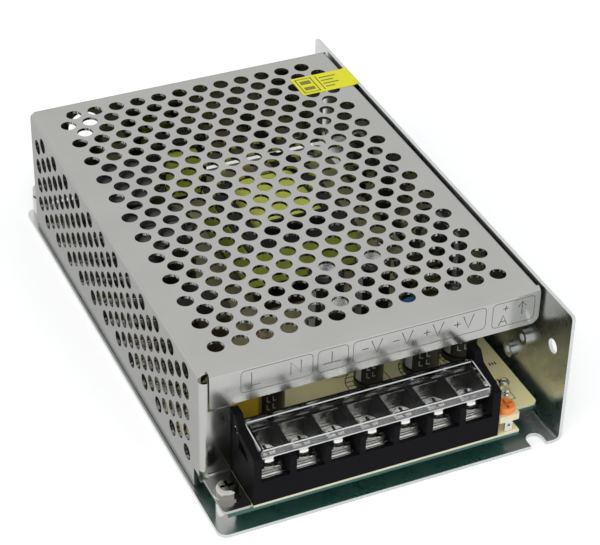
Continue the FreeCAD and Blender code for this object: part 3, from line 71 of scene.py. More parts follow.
# The seven terminal cells, and the middle of each
CELLS = range(1, 8)
CELL_PLACES = [joint_mm(f"clamp_lift_{number}")[0] for number in CELLS]
LAMP_LOW, LAMP_HIGH = box_mm("power_led")
LAMP_RADIUS = 1.8
LAMP_X = LAMP_HIGH[0] - LAMP_RADIUS
LAMP_Y = (LAMP_LOW[1] + LAMP_HIGH[1]) / 2


# Materials
NOISE_DETAIL = 3.0
NOISE_LOW = 0.3
NOISE_HIGH = 0.7
# Sockets of a Mix node that blends colours
MIX_FACTOR = 0
MIX_FIRST = 6
MIX_SECOND = 7
MIX_RESULT = 2


def link(tree, source, target):
    tree.links.new(source, target)


def shader_of(material):
    return material.node_tree.nodes["Principled BSDF"]


def new_material(name, color, metallic, roughness, **sockets):
    """Principled material; sockets gives further shader inputs by name, with _ for a space."""
    material = bpy.data.materials.new(name)
    material.use_nodes = True
    shader = shader_of(material)
    shader.inputs["Base Color"].default_value = (*color, 1)
    shader.inputs["Metallic"].default_value = metallic
    shader.inputs["Roughness"].default_value = roughness
    for key, value in sockets.items():
        shader.inputs[key.replace("_", " ")].default_value = value
    return material


def coordinates(tree, stretch=(1, 1, 1)):
    """Object coordinates in millimetres, stretched along the axes."""
    place = tree.nodes.new("ShaderNodeTexCoord")
    mapping = tree.nodes.new("ShaderNodeMapping")
    mapping.inputs["Scale"].default_value = [s / MM for s in stretch]
    link(tree, place.outputs["Object"], mapping.inputs["Vector"])
    return mapping.outputs["Vector"]


def noise(tree, scale, stretch=(1, 1, 1)):
    """Noise with about scale patches to a millimetre."""
    texture = tree.nodes.new("ShaderNodeTexNoise")
    texture.inputs["Scale"].default_value = scale
    texture.inputs["Detail"].default_value = NOISE_DETAIL
    link(tree, coordinates(tree, stretch), texture.inputs["Vector"])
    return texture.outputs["Fac"]


def ramp(tree, fac, low, high, first, second):
    """Value between first and second as fac runs from low to high."""
    node = tree.nodes.new("ShaderNodeMapRange")
    node.inputs["From Min"].default_value = low
    node.inputs["From Max"].default_value = high
    node.inputs["To Min"].default_value = first
    node.inputs["To Max"].default_value = second
    link(tree, fac, node.inputs["Value"])
    return node.outputs["Result"]


def blend_colors(tree, fac, first, second):
    node = tree.nodes.new("ShaderNodeMix")
    node.data_type = "RGBA"
    for socket, value in ((MIX_FIRST, first), (MIX_SECOND, second)):
        if isinstance(value, tuple):
            node.inputs[socket].default_value = (*value, 1)
        else:
            link(tree, value, node.inputs[socket])
    link(tree, fac, node.inputs[MIX_FACTOR])
    return node.outputs[MIX_RESULT]


def vary(material, amount, scale):
    """Slow, slight change of tone over the surface."""
    tree = material.node_tree
    shader = shader_of(material)
    color = tuple(shader.inputs["Base Color"].default_value)[:3]
    dark = tuple(c * (1 - amount) for c in color)
    light = tuple(min(1, c * (1 + amount)) for c in color)
    fac = ramp(tree, noise(tree, scale), NOISE_LOW, NOISE_HIGH, 0, 1)
    link(tree, blend_colors(tree, fac, dark, light), shader.inputs["Base Color"])
    return material


def roughen(material, low, high, scale):
    """Roughness that drifts between low and high over the surface."""
    tree = material.node_tree
    fac = ramp(tree, noise(tree, scale), NOISE_LOW, NOISE_HIGH, low, high)
    link(tree, fac, shader_of(material).inputs["Roughness"])
    return material


def raise_surface(material, pattern, height):
    """Bump as high as the pattern's value times height, in millimetres."""
    tree = material.node_tree
    node = tree.nodes.new("ShaderNodeBump")
    node.inputs["Strength"].default_value = 1.0
    node.inputs["Distance"].default_value = height * MM
    link(tree, pattern, node.inputs["Height"])
    link(tree, node.outputs["Normal"], shader_of(material).inputs["Normal"])
    return material


def bump(material, height, scale, stretch=(1, 1, 1)):
    """Fine unevenness."""
    pattern = noise(material.node_tree, scale, stretch)
    return raise_surface(material, pattern, height)


def axis_of(tree, letter):
    """One coordinate of the surface, in millimetres."""
    split = tree.nodes.new("ShaderNodeSeparateXYZ")
    link(tree, coordinates(tree), split.inputs["Vector"])
    return split.outputs[letter]


def math_node(tree, operation, first, second):
    node = tree.nodes.new("ShaderNodeMath")
    node.operation = operation
    for socket, value in zip(node.inputs, (first, second)):
        if isinstance(value, (int, float)):
            socket.default_value = value
        else:
            link(tree, value, socket)
    return node.outputs[0]


def ridges(material, pitch, height):
    """Fine ridges across the part, with pitch and half height in millimetres."""
    tree = material.node_tree
    phase = math_node(tree, "MULTIPLY", axis_of(tree, "Y"), 2 * math.pi / pitch)
    return raise_surface(material, math_node(tree, "SINE", phase, 0.0), height)


def background_rays(tree):
    """One for the rays that show the background: to the camera, in metal and through glass."""
    path = tree.nodes.new("ShaderNodeLightPath")
    seen = math_node(tree, "MAXIMUM", path.outputs["Is Camera Ray"], path.outputs["Is Glossy Ray"])
    return math_node(tree, "MAXIMUM", seen, path.outputs["Is Transmission Ray"])


EDGE_ON_TINT = (0.62, 0.62, 0.62, 1)


def cover_steel():
    """Smooth zinc plated sheet that stays grey where it is seen edge on."""
    color = (0.445, 0.445, 0.43)
    material = new_material("cover_steel", color, 1.0, 0.15, Specular_Tint=EDGE_ON_TINT)
    vary(material, amount=0.03, scale=0.05)
    roughen(material, low=0.12, high=0.2, scale=0.15)
    return bump(material, height=0.006, scale=0.06)


def chassis_steel():
    material = new_material("chassis_steel", (0.60, 0.62, 0.61), 1.0, 0.28)
    vary(material, amount=0.04, scale=0.08)
    roughen(material, low=0.24, high=0.36, scale=0.2)
    return bump(material, height=0.01, scale=0.05)


def nickel(name="nickel", color=(0.62, 0.62, 0.60)):
    material = new_material(name, color, 1.0, 0.16)
    return roughen(material, low=0.1, high=0.22, scale=1.2)


# Painted shade in the recesses of the screws, from ambient occlusion
RECESS_REACH = 1.6
RECESS_SAMPLES = 8
RECESS_SHUT = 0.35
RECESS_OPEN = 0.85
RECESS_SHADE_TONE = 0.08


def paint_recess_shade(material):
    """Painted shade: darker metal in recesses and corners narrower than RECESS_REACH, in
    millimetres.
    """
    tree = material.node_tree
    shader = shader_of(material)
    color = tuple(shader.inputs["Base Color"].default_value)[:3]
    open_sky = tree.nodes.new("ShaderNodeAmbientOcclusion")
    open_sky.samples = RECESS_SAMPLES
    open_sky.only_local = True
    open_sky.inputs["Distance"].default_value = RECESS_REACH * MM
    fac = ramp(tree, open_sky.outputs["AO"], RECESS_SHUT, RECESS_OPEN, 0, 1)
    dark = tuple(c * RECESS_SHADE_TONE for c in color)
    link(tree, blend_colors(tree, fac, dark, color), shader.inputs["Base Color"])
    return material


LAMINATE = (0.95, 0.88, 0.46)
# Painted shade of the laminate deep inside the case
LAMINATE_SHADED = (0.36, 0.33, 0.20)
LAMINATE_EDGE = (0.62, 0.60, 0.45)
MOTTLE_SCALE = 0.12
SHADE_FROM = -38.0
SHADE_TO = -20.0
MASK_GREEN = (0.06, 0.30, 0.235)
MASK_SHADE = 0.3
# Below this height the board's edge takes darkened mask green as painted shadow under the board
EDGE_SHADOW_TOP = BOARD_BOTTOM + 0.9
FOOT_EDGE_X = -39.9
PRINTED_FACE = BOARD_TOP - 0.02


def board_laminate():
    """Cream laminate with painted shade deeper inside the case; darkened mask green on its lower
    edge and the corner under the foot is painted shadow.
    """
    material = new_material("board_laminate", LAMINATE, 0.0, 0.32)
    tree = material.node_tree
    # Painted shade that deepens from SHADE_FROM to SHADE_TO, in mottled patches
    inside = ramp(tree, axis_of(tree, "Y"), SHADE_FROM, SHADE_TO, 0, 1)
    patches = noise(tree, MOTTLE_SCALE)
    mottle = ramp(tree, patches, low=0.35, high=0.65, first=0.7, second=1.0)
    inside_shade = math_node(tree, "MULTIPLY", mottle, inside)
    height = axis_of(tree, "Z")
    edge = math_node(tree, "GREATER_THAN", height, EDGE_SHADOW_TOP)
    beside_foot = math_node(tree, "GREATER_THAN", axis_of(tree, "X"), FOOT_EDGE_X)
    top = math_node(tree, "GREATER_THAN", height, PRINTED_FACE)
    bare = math_node(tree, "MAXIMUM", top, math_node(tree, "MULTIPLY", edge, beside_foot))
    cream = blend_colors(tree, inside_shade, LAMINATE, LAMINATE_SHADED)
    laminate = blend_colors(tree, top, LAMINATE_EDGE, cream)
    # Painted shadow: mask green darkened by MASK_SHADE on the lower edge and the edges under the
    # foot
    dark = tuple(c * MASK_SHADE for c in MASK_GREEN)
    link(tree, blend_colors(tree, bare, dark, laminate), shader_of(material).inputs["Base Color"])
    return bump(material, height=0.004, scale=2.0)


def black_plastic():
    color = (0.004, 0.004, 0.005)
    material = new_material("black_plastic", color, 0.0, 0.45, Specular_IOR_Level=0.05)
    return bump(material, height=0.006, scale=3.0)


def clear_plastic(name, tint=(0.98, 0.985, 0.98), index=1.5):
    return new_material(name, tint, 0.0, 0.02, IOR=index, Transmission_Weight=1.0)


def epoxy(name, color, roughness):
    material = new_material(name, color, 0.0, roughness, Specular_IOR_Level=0.3)
    vary(material, amount=0.08, scale=0.8)
    return bump(material, height=0.008, scale=4.0)


def tape(name, color):
    """Wound polyester tape, with faint uneven turns about a millimetre high."""
    material = new_material(name, color, 0.0, 0.5, Specular_IOR_Level=0.3)
    vary(material, amount=0.08, scale=0.4)
    return bump(material, height=0.03, scale=0.5, stretch=(1, 1, 2))


def can_sleeve():
    material = new_material("can_sleeve", (0.010, 0.010, 0.013), 0.0, 0.3, Coat_Weight=0.15)
    return bump(material, height=0.004, scale=1.0)


FILM_YELLOW = (0.72, 0.50, 0.03)
FILM_DARK = (0.06, 0.06, 0.045)
FILM_FRONT_Y = 0.0
FILM_REAR_Y = 10.0


def film_box():
    """Yellow film capacitor at the front; the rear one is dark."""
    material = new_material("film_box", FILM_YELLOW, 0.0, 0.35, Specular_IOR_Level=0.3)
    tree = material.node_tree
    rear = ramp(tree, axis_of(tree, "Y"), FILM_FRONT_Y, FILM_REAR_Y, 0, 1)
    color = blend_colors(tree, rear, FILM_YELLOW, FILM_DARK)
    link(tree, color, shader_of(material).inputs["Base Color"])
    return bump(material, height=0.006, scale=1.5)


def sticker_yellow():
    color = (0.80, 0.77, 0.02)
    material = new_material("sticker_yellow", color, 0.0, 0.4, Specular_IOR_Level=0.2)
    return vary(material, amount=0.03, scale=0.2)


def lid_painted_sheen():
    """Painted sheen: a faint pale veil on the front edge of the clear lid."""
    material = new_material("lid_painted_sheen", (0.70, 0.71, 0.70), 0.0, 0.3, Alpha=0.22)
    return roughen(material, low=0.2, high=0.4, scale=1.0)


# Brown enamelled copper, darkened almost to black as painted shade of the windings inside the case
def enamelled_wire_painted_shade():
    material = new_material("enamelled_wire_painted_shade", (0.045, 0.034, 0.02), 0.4, 0.35)
    return roughen(material, low=0.28, high=0.42, scale=1.0)


MATERIALS = {
    "cover": cover_steel(),
    "chassis": chassis_steel(),
    "nickel": nickel(),
    "board": board_laminate(),
    "block": black_plastic(),
    "contact": ridges(nickel("contact_tin", (0.63, 0.63, 0.61)), pitch=1.1, height=0.08),
    # Lit and shaded copies of one zinc: terminal screws brightened as painted highlight, foot screw
    # and washer darkened as painted shade
    "screw": paint_recess_shade(nickel("screw_zinc_lit", (0.80, 0.79, 0.76))),
    "foot_screw": paint_recess_shade(nickel("foot_screw_zinc_shaded", (0.50, 0.49, 0.46))),
    "lid": clear_plastic("lid_clear", index=1.18),
    # Pale paint for the painted highlights along the lid's edges
    "lid_highlight_paint": roughen(new_material("lid_highlight_paint", (0.60, 0.61, 0.60), 0.0, 0.3), 0.2, 0.4, 1.0),
    "lid_painted_sheen": lid_painted_sheen(),
    "lamp": clear_plastic("lamp_clear", (0.93, 0.95, 0.9)),
    "tube": clear_plastic("tube_glass"),
    "trimmer": vary(new_material("trimmer_base", (0.72, 0.66, 0.42), 0.0, 0.5), 0.05, 0.5),
    "rotor": vary(new_material("rotor_orange", (0.82, 0.25, 0.05), 0.0, 0.42), 0.06, 0.6),
    "sticker": sticker_yellow(),
    "ink": new_material("sticker_ink", (0.17, 0.16, 0.01), 0.0, 0.45),
    "silk": new_material("board_ink", (0.03, 0.025, 0.02), 0.0, 0.6),
    # Darker metal for the pressed marks, painted shade of their grooves
    "mark": new_material("pressed_mark_shade", (0.13, 0.13, 0.125), 1.0, 0.4),
    "ferrite": epoxy("ferrite", (0.018, 0.018, 0.02), 0.5),
    "tape": tape("core_tape", (0.55, 0.63, 0.09)),
    "winding": tape("winding_tape", (0.82, 0.88, 0.15)),
    "bobbin": epoxy("bobbin", (0.012, 0.012, 0.014), 0.4),
    "sleeve": can_sleeve(),
    "can_top": roughen(new_material("can_top", (0.72, 0.73, 0.74), 1.0, 0.25), 0.2, 0.32, 1.0),
    "stripe": vary(new_material("sleeve_stripe", (0.42, 0.44, 0.46), 0.0, 0.4), 0.05, 0.5),
    "film": film_box(),
    "disc": epoxy("disc_blue", (0.004, 0.14, 0.34), 0.3),
    "copper": enamelled_wire_painted_shade(),
    "ring": epoxy("ring_olive", (0.20, 0.19, 0.06), 0.5),
    "epoxy": epoxy("black_epoxy", (0.02, 0.02, 0.02), 0.42),
    "pad": vary(new_material("pad_grey", (0.42, 0.45, 0.47), 0.0, 0.7), 0.06, 0.4),
    "resistor": vary(new_material("resistor_tan", (0.40, 0.32, 0.18), 0.0, 0.4), 0.06, 0.7),
    "diode": epoxy("diode_black", (0.018, 0.018, 0.018), 0.3),
    "sheet": vary(new_material("sheet_film", (0.50, 0.52, 0.48), 0.0, 0.3), 0.04, 0.1),
    "solder": roughen(new_material("solder", (0.62, 0.62, 0.60), 1.0, 0.25), 0.18, 0.34, 2.0),
    "mask": vary(new_material("solder_mask", MASK_GREEN, 0.0, 0.3), 0.1, 0.3),
}

FINISH = {
    "mesh_cover": "cover",
    "base_chassis": "chassis",
    "circuit_board": "board",
    "terminal_block_body": "block",
    "terminal_contacts": "contact",
    "foot_screws": "foot_screw",
    "front_foot_washer": "foot_screw",
    "terminal_lid": "lid",
    "trimmer_base": "trimmer",
    "trimmer_rotor": "rotor",
    "power_led": "lamp",
    "label_sticker": "sticker",
    "transformer_core": "ferrite",
    "transformer_tape": "tape",
    "transformer_winding": "winding",
    "transformer_bobbin": "bobbin",
    "front_capacitors": "sleeve",
    "output_capacitors": "sleeve",
    "bulk_capacitors": "sleeve",
    "film_capacitors": "film",
    "blue_discs": "disc",
    "line_choke_core": "ferrite",
    "line_choke_windings": "copper",
    "line_choke_base": "bobbin",
    "output_inductor_core": "ring",
    "output_inductor_winding": "copper",
    "drive_transformer_core": "ferrite",
    "drive_transformer_winding": "tape",
    "output_rectifier": "epoxy",
    "power_transistors": "epoxy",
    "insulation_pads": "pad",
    "package_clips": "chassis",
    "bridge_rectifier": "epoxy",
    "fuse_tube": "tube",
    "thermistor": "epoxy",
    "controller_chip": "epoxy",
    "resistors": "resistor",
    "diodes": "diode",
    "insulation_sheet": "sheet",
}


def paint(obj, material):
    obj.data.materials.clear()
    obj.data.materials.append(material)


SHARP_FROM = 30


def soften(mesh):
    """Smooth shading that keeps every edge of SHARP_FROM degrees and more."""
    mesh.shade_smooth()
    mesh.set_sharp_from_angle(angle=math.radians(SHARP_FROM))


for number in CELLS:
    FINISH[f"clamp_{number}"] = "contact"
    FINISH[f"terminal_screw_{number}"] = "screw"

for node_name, node in NODES.items():
    paint(node, MATERIALS[FINISH.get(node_name, "nickel")])
    soften(node.data)


# Pieces
def add_mesh(name, vertices, faces, material, body, slot):
    mesh = bpy.data.meshes.new(name)
    mesh.from_pydata([tuple(c * MM for c in v) for v in vertices], [], faces)
    mesh.validate()
    obj = bpy.data.objects.new(name, mesh)
    scene.collection.objects.link(obj)
    paint(obj, MATERIALS[material])
    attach(obj, body)


def add_strokes(name, strokes, radius, material, body, closed=False):
    """Round lines through points in millimetres."""
    curve = bpy.data.curves.new(name, "CURVE")
    curve.dimensions = "3D"
    curve.bevel_depth = radius * MM
    curve.bevel_resolution = 2
    for points in strokes:
        spline = curve.splines.new("POLY")
        spline.points.add(len(points) - 1)
        for point, place in zip(spline.points, points):
            point.co = (*(c * MM for c in place), 1)
        spline.use_cyclic_u = closed
    obj = bpy.data.objects.new(name, curve)
    scene.collection.objects.link(obj)
    curve.materials.append(MATERIALS[material])
    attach(obj, body)


def ring_points(x, y, radius, start=0, end=360, count=40):
    """Points on a circle from start to end, in degrees, with both ends."""
    steps = [math.radians(start + (end - start) * i / count) for i in range(count + 1)]
    return [(x + radius * math.cos(a), y + radius * math.sin(a)) for a in steps]


def strip_faces(count):
    """Faces between two rows of points that take turns in the list of vertices."""
    return [(2 * i, 2 * i + 2, 2 * i + 3, 2 * i + 1) for i in range(count)]


def flat_ring(x, y, z, outer, inner, count=40):
    """Vertices and faces of a flat ring."""
    outside = ring_points(x, y, outer, count=count)
    inside = ring_points(x, y, inner, count=count)
    vertices = []
    for (ox, oy), (ix, iy) in zip(outside, inside):
        vertices += [(ox, oy, z), (ix, iy, z)]
    return vertices, strip_faces(count)


def merged(parts):
    """Vertices and faces of all parts as one mesh."""
    vertices = []
    faces = []
    for some_vertices, some_faces in parts:
        base = len(vertices)
        vertices += some_vertices
        faces += [tuple(i + base for i in face) for face in some_faces]
    return vertices, faces


def slab(x0, x1, y0, y1, z0, z1):
    vertices = [(x, y, z) for z in (z0, z1) for x, y in ((x0, y0), (x1, y0), (x1, y1), (x0, y1))]
    faces = [(3, 2, 1, 0), (4, 5, 6, 7), (0, 1, 5, 4), (1, 2, 6, 5), (2, 3, 7, 6), (3, 0, 4, 7)]
    return vertices, faces


def can_patch(can, middle, width, z0, z1, steps=8, lift=0.02):
    """Part of a can's side: middle and width in degrees, heights from the board."""
    x, y, radius, _ = can
    vertices = []
    for number in range(steps + 1):
        angle = math.radians(middle - width / 2 + width * number / steps)
        px = x + (radius + lift) * math.cos(angle)
        py = y + (radius + lift) * math.sin(angle)
        vertices += [(px, py, BOARD_TOP + z0), (px, py, BOARD_TOP + z1)]
    return vertices, strip_faces(steps)


def solid_disc(x, y, z0, z1, radius, count):
    bottom = [(px, py, z0) for px, py in ring_points(x, y, radius, count=count)[:-1]]
    top = [(px, py, z1) for px, py, _ in bottom]
    ends = [tuple(range(count))[::-1], tuple(range(count, 2 * count))]
    sides = [(i, (i + 1) % count, (i + 1) % count + count, i + count) for i in range(count)]
    return bottom + top, ends + sides


# Marks pressed into the front strip, drawn as raised strokes of darker metal: painted shade of the
# pressed grooves
STRIP_FACE = -64.4
MARK_RADIUS = 0.13
MARK_LIFT = 0.03
FRAME_CORNER = 1.2
CORNER_STEPS = 6


def mark_box(x0, x1, z0, z1):
    """Closed line with round corners."""
    left, right = x0 + FRAME_CORNER, x1 - FRAME_CORNER
    low, high = z0 + FRAME_CORNER, z1 - FRAME_CORNER
    points = []
    for cx, cz, start in ((right, high, 0), (left, high, 90), (left, low, 180), (right, low, 270)):
        arc = ring_points(cx, cz, FRAME_CORNER, start, start + 90, CORNER_STEPS)
        points += [(px, STRIP_FACE + MARK_LIFT, pz) for px, pz in arc]
    return points


def mark_lines(x, z, lines):
    return [[(x + px, STRIP_FACE + MARK_LIFT, z + pz) for px, pz in line] for line in lines]


# Each shape: lines of x and z from the middle of the mark
LETTER_L = [[(-1.2, 2), (-1.2, -2), (1.2, -2)]]
LETTER_N = [[(-1.4, -2), (-1.4, 2), (1.4, -2), (1.4, 2)]]
EARTH = [[(-2.4, -1.4), (2.4, -1.4)], [(0, -1.4), (0, 2)]]
LETTER_V = [[(-0.4, 2), (1.1, -2), (2.6, 2)]]
MINUS = [[(-3.0, 0), (-1.2, 0)]]
PLUS = MINUS + [[(-2.1, -0.9), (-2.1, 0.9)]]
LETTER_A = [[(-1.2, -1.5), (0, 1.5), (1.2, -1.5)], [(-0.7, -0.4), (0.7, -0.4)]]
ARROW = [[(0, -2), (0, 2)], [(-1.2, 0.4), (0, 2), (1.2, 0.4)]]
PLUS_SMALL = [[(-0.8, 0), (0.8, 0)], [(0, -0.8), (0, 0.8)]]

# Each mark: x and z of its middle, lines
MARK_Z = 36.1
MARKS = (
    (-33.3, MARK_Z, LETTER_L),
    (-22.5, MARK_Z, LETTER_N),
    (-12.6, MARK_Z, EARTH),
    (-1.2, MARK_Z, LETTER_V + MINUS),
    (7.4, MARK_Z, LETTER_V + MINUS),
    (16.2, MARK_Z, LETTER_V + PLUS),
    (25.0, MARK_Z, LETTER_V + PLUS),
    (41.9, MARK_Z, ARROW),
    (36.4, 33.6, LETTER_A),
    (37.0, 37.2, PLUS_SMALL),
)
# Frames around the marks: left, right, bottom
FRAMES = ((-37.4, -17.9, 32.4), (-16.5, -8.1, 32.4), (-6.7, 31.2, 32.4), (33.2, 45.6, 31.6))
FRAME_TOP = 39.2
FRAME_RADIUS = MARK_RADIUS * 0.7


def strip_marks():
    marks = []
    for x, z, shape in MARKS:
        marks += mark_lines(x, z, shape)
    add_strokes("strip_letters", marks, MARK_RADIUS, "mark", "case")
    frames = [mark_box(left, right, bottom, FRAME_TOP) for left, right, bottom in FRAMES]
    add_strokes("strip_frames", frames, FRAME_RADIUS, "mark", "case", closed=True)


# Print on the board
INK_LIFT = 0.02
INK_Z = BOARD_TOP + INK_LIFT
INK_SHEET = 0.01
RING_MARGIN = 1.0
RING_LINE = 0.25
WIDE_RING = 6.3
HATCHES = 7
HATCH_START = -0.85
HATCH_STEP = 0.28
HATCH_LINE = 0.3
HATCH_END = 0.35
OUTLINE_HALF_LINE = 0.1
# Each outline of a part: x, y, width, depth
OUTLINES = (
    (LAMP_X, LAMP_Y, 5.0, 5.0),
    (32.7, -69.0, 6.0, 2.4),
    (-4.9, -50.3, 11.5, 3.6),
    (-4.9, -56.6, 11.5, 3.6),
    (16.1, -56.0, 11.5, 3.6),
)
LABELS = ((39.5, -59.0), (41.5, -52.0), (30.0, -57.5), (12.0, -60.0), (-16.0, -59.5))
LABEL_BARS = 3
LABEL_PITCH = 0.8
LABEL_BAR = 0.45
LABEL_HEIGHT = 1.2


def ink(x0, x1, y0, y1):
    return slab(x0, x1, y0, y1, INK_Z - INK_SHEET, INK_Z)


def can_ring(can):
    """Printed ring around a can, with the negative half hatched."""
    x, y, radius, _ = can
    ring = WIDE_RING if can == FRONT_CANS[0] else radius + RING_MARGIN
    parts = [flat_ring(x, y, INK_Z, ring, ring - RING_LINE)]
    for number in range(HATCHES):
        offset = HATCH_START * ring + number * ring * HATCH_STEP
        half = math.sqrt(ring * ring - offset * offset)
        parts.append(ink(x - half, x - half * HATCH_END, y + offset, y + offset + HATCH_LINE))
    return parts


def outline(x, y, width, depth):
    left, right = x - width / 2, x + width / 2
    front, back = y - depth / 2, y + depth / 2
    line = OUTLINE_HALF_LINE
    across = [ink(left, right, edge - line, edge + line) for edge in (front, back)]
    along = [ink(edge - line, edge + line, front, back) for edge in (left, right)]
    return across + along


def label(x, y):
    """Short bars in place of a part's print."""
    starts = [x + number * LABEL_PITCH for number in range(LABEL_BARS)]
    return [ink(start, start + LABEL_BAR, y, y + LABEL_HEIGHT) for start in starts]


def board_print():
    parts = []
    for can in CANS:
        parts += can_ring(can)
    for place in OUTLINES:
        parts += outline(*place)
    for x, y in LABELS:
        parts += label(x, y)
    add_mesh("board_print", *merged(parts), "silk", "case", "board_laminate")


# Underside of the board
MASK_TOP = BOARD_BOTTOM - 0.01
MASK_BOTTOM = BOARD_BOTTOM - 0.06
MASK_MARGIN = 0.2
MASK_LEFT = BOARD_LOW[0] + MASK_MARGIN
MASK_RIGHT = BOARD_HIGH[0] - MASK_MARGIN
MASK_FRONT = BOARD_LOW[1] + MASK_MARGIN
MASK_BACK = BOARD_HIGH[1] - MASK_MARGIN
TONGUE_RIGHT = 35.2
TONGUE_BACK = -71.0
REST_FRONT = -70.4
# The tongue and the rest of the board: left, right, front, back
MASK_FIELDS = (
    (MASK_LEFT, TONGUE_RIGHT, MASK_FRONT, TONGUE_BACK),
    (MASK_LEFT, MASK_RIGHT, REST_FRONT, MASK_BACK),
)
TERMINAL_JOINT_Y = -66.0
TERMINAL_JOINT_SPREAD = 2.0
TRANSFORMER_X = 6.54
TRANSFORMER_Y = 12.15
TRANSFORMER_PIN_PITCH = 4.0
TRANSFORMER_PIN_ROW = 14.5
TRANSFORMER_PINS = 6
# Steps of a solder cone: upper and lower edge below the board, radius
CONE = ((0.06, 0.35, 1.1), (0.35, 0.8, 0.75), (0.8, 1.5, 0.4))
CONE_SIDES = 12


def joint_places():
    places = []
    for cell in CELL_PLACES:
        places += [(cell + side * TERMINAL_JOINT_SPREAD, TERMINAL_JOINT_Y) for side in (-1, 1)]
    for x, y, radius, _ in CANS:
        places += [(x - radius / 2, y), (x + radius / 2, y)]
    for side in (-1, 1):
        for number in range(TRANSFORMER_PINS):
            x = TRANSFORMER_X + (number - (TRANSFORMER_PINS - 1) / 2) * TRANSFORMER_PIN_PITCH
            places.append((x, TRANSFORMER_Y + side * TRANSFORMER_PIN_ROW))
    return places


def solder_side():
    """Green mask and solder joints under the board."""
    mask = [slab(*field, MASK_BOTTOM, MASK_TOP) for field in MASK_FIELDS]
    add_mesh("solder_mask", *merged(mask), "mask", "case", "board_laminate")
    parts = []
    for x, y in joint_places():
        for low, high, radius in CONE:
            bottom, top = BOARD_BOTTOM - high, BOARD_BOTTOM - low
            parts.append(solid_disc(x, y, bottom, top, radius, CONE_SIDES))
    add_mesh("solder_joints", *merged(parts), "solder", "case", "screw_steel")


# Tops, stripes and bars on the cans, with angles in degrees
TOP_DEPTH = 0.2
TOP_LIFT = 0.03
TOP_RIM = 0.9
TOP_SIDES = 40
STRIPE_MIDDLE = 200
STRIPE_WIDTH = 28
STRIPE_BASE = 2.8
STRIPE_TOP_MARGIN = 1.0
BAR_COLUMNS = (-118, -96)
BAR_ROWS = 3
BAR_BASE = 4.4
BAR_ROW_PITCH = 2.6
BAR_COLUMN_SHIFT = 0.5
LYING_BAR_WIDTH = 12
LYING_BAR_HEIGHT = 0.35
STANDING_BAR_WIDTH = 3
STANDING_BAR_HEIGHT = 1.7
STANDING_BAR_TURN = 5


def can_top(can):
    x, y, radius, height = can
    top = BOARD_TOP + height
    return solid_disc(x, y, top - TOP_DEPTH, top + TOP_LIFT, radius - TOP_RIM, TOP_SIDES)


def can_bars(can):
    """Lying and standing bars in place of print."""
    bars = []
    for column, middle in enumerate(BAR_COLUMNS):
        for row in range(BAR_ROWS):
            low = BAR_BASE + row * BAR_ROW_PITCH + column * BAR_COLUMN_SHIFT
            lying_top = low + LYING_BAR_HEIGHT
            standing_top = low + STANDING_BAR_HEIGHT
            standing = middle - STANDING_BAR_TURN
            bars.append(can_patch(can, middle, LYING_BAR_WIDTH, low, lying_top, steps=3))
            bars.append(can_patch(can, standing, STANDING_BAR_WIDTH, low, standing_top, steps=2))
    return bars


def can_stripe(can):
    top = can[3] - STRIPE_TOP_MARGIN
    return can_patch(can, STRIPE_MIDDLE, STRIPE_WIDTH, STRIPE_BASE, top)


def can_details():
    """Bright tops, the stripe beside the negative lead, and short bars in place of print."""
    tops = [can_top(can) for can in FRONT_CANS + OUTPUT_CANS]
    stripes = [can_stripe(can) for can in CANS]
    bars = []
    for can in FRONT_CANS:
        bars += can_bars(can)
    add_mesh("can_tops", *merged(tops), "can_top", "case", "capacitor_black")
    add_mesh("can_stripes", *merged(stripes), "stripe", "case", "capacitor_black")
    add_mesh("can_print", *merged(bars), "stripe", "case", "capacitor_black")


# Sticker across the cover and the chassis wall
STICKER_LEFT, STICKER_FRONT, _ = box_mm("label_sticker")[0]
STICKER_SHEET = 0.15
STICKER_INK_LIFT = 0.01
STICKER_INK_Z = box_mm("mesh_cover")[1][2] + STICKER_SHEET + STICKER_INK_LIFT
STICKER_INK_SHEET = 0.02
# Frame and bars in place of words: left, right, front, back from the sticker's own corner
STICKER_BARS = (
    (0.8, 6.2, 0.8, 1.2),
    (0.8, 6.2, 8.6, 9.0),
    (0.8, 1.2, 0.8, 9.0),
    (5.8, 6.2, 0.8, 9.0),
    (1.8, 5.2, 2.2, 4.0),
    (1.8, 5.2, 5.6, 7.6),
    (7.4, 7.8, 0.8, 9.0),
    (8.4, 11.4, 2.0, 2.6),
    (8.4, 13.4, 3.8, 4.4),
    (8.4, 12.4, 5.6, 6.2),
    (8.4, 13.8, 7.4, 8.0),
)


def sticker_print():
    low, high = STICKER_INK_Z - STICKER_INK_SHEET, STICKER_INK_Z
    parts = []
    for left, right, front, back in STICKER_BARS:
        x0, x1 = STICKER_LEFT + left, STICKER_LEFT + right
        y0, y1 = STICKER_FRONT + front, STICKER_FRONT + back
        parts.append(slab(x0, x1, y0, y1, low, high))
    add_mesh("sticker_print", *merged(parts), "ink", "case", "sticker_yellow")


# Lead frame of the lamp: left and right from its axis, half its depth, bottom, top
LAMP_FRAME = (
    (-1.3, -0.9, 0.2, 9.0, 11.4),
    (-1.3, -0.1, 0.3, 11.4, 12.0),
    (0.5, 0.9, 0.2, 9.0, 11.9),
)


def lamp_parts():
    """Lead frame inside the clear lamp."""
    parts = []
    for left, right, half, bottom, top in LAMP_FRAME:
        parts.append(slab(LAMP_X + left, LAMP_X + right, LAMP_Y - half, LAMP_Y + half, bottom, top))
    add_mesh("lamp_frame", *merged(parts), "nickel", "case", "lamp_resin")


# Painted highlights on the edges of the clear lid, where they catch the light
_, LID_AXIS_Y, LID_AXIS_Z = joint_mm("lid_hinge")
LID_SLOPE = math.radians(6)
LID_LOW, LID_HIGH = box_mm("terminal_lid")
LID_PIN = 2.3
LID_ENDS = (LID_LOW[0] + LID_PIN, LID_HIGH[0] - LID_PIN)
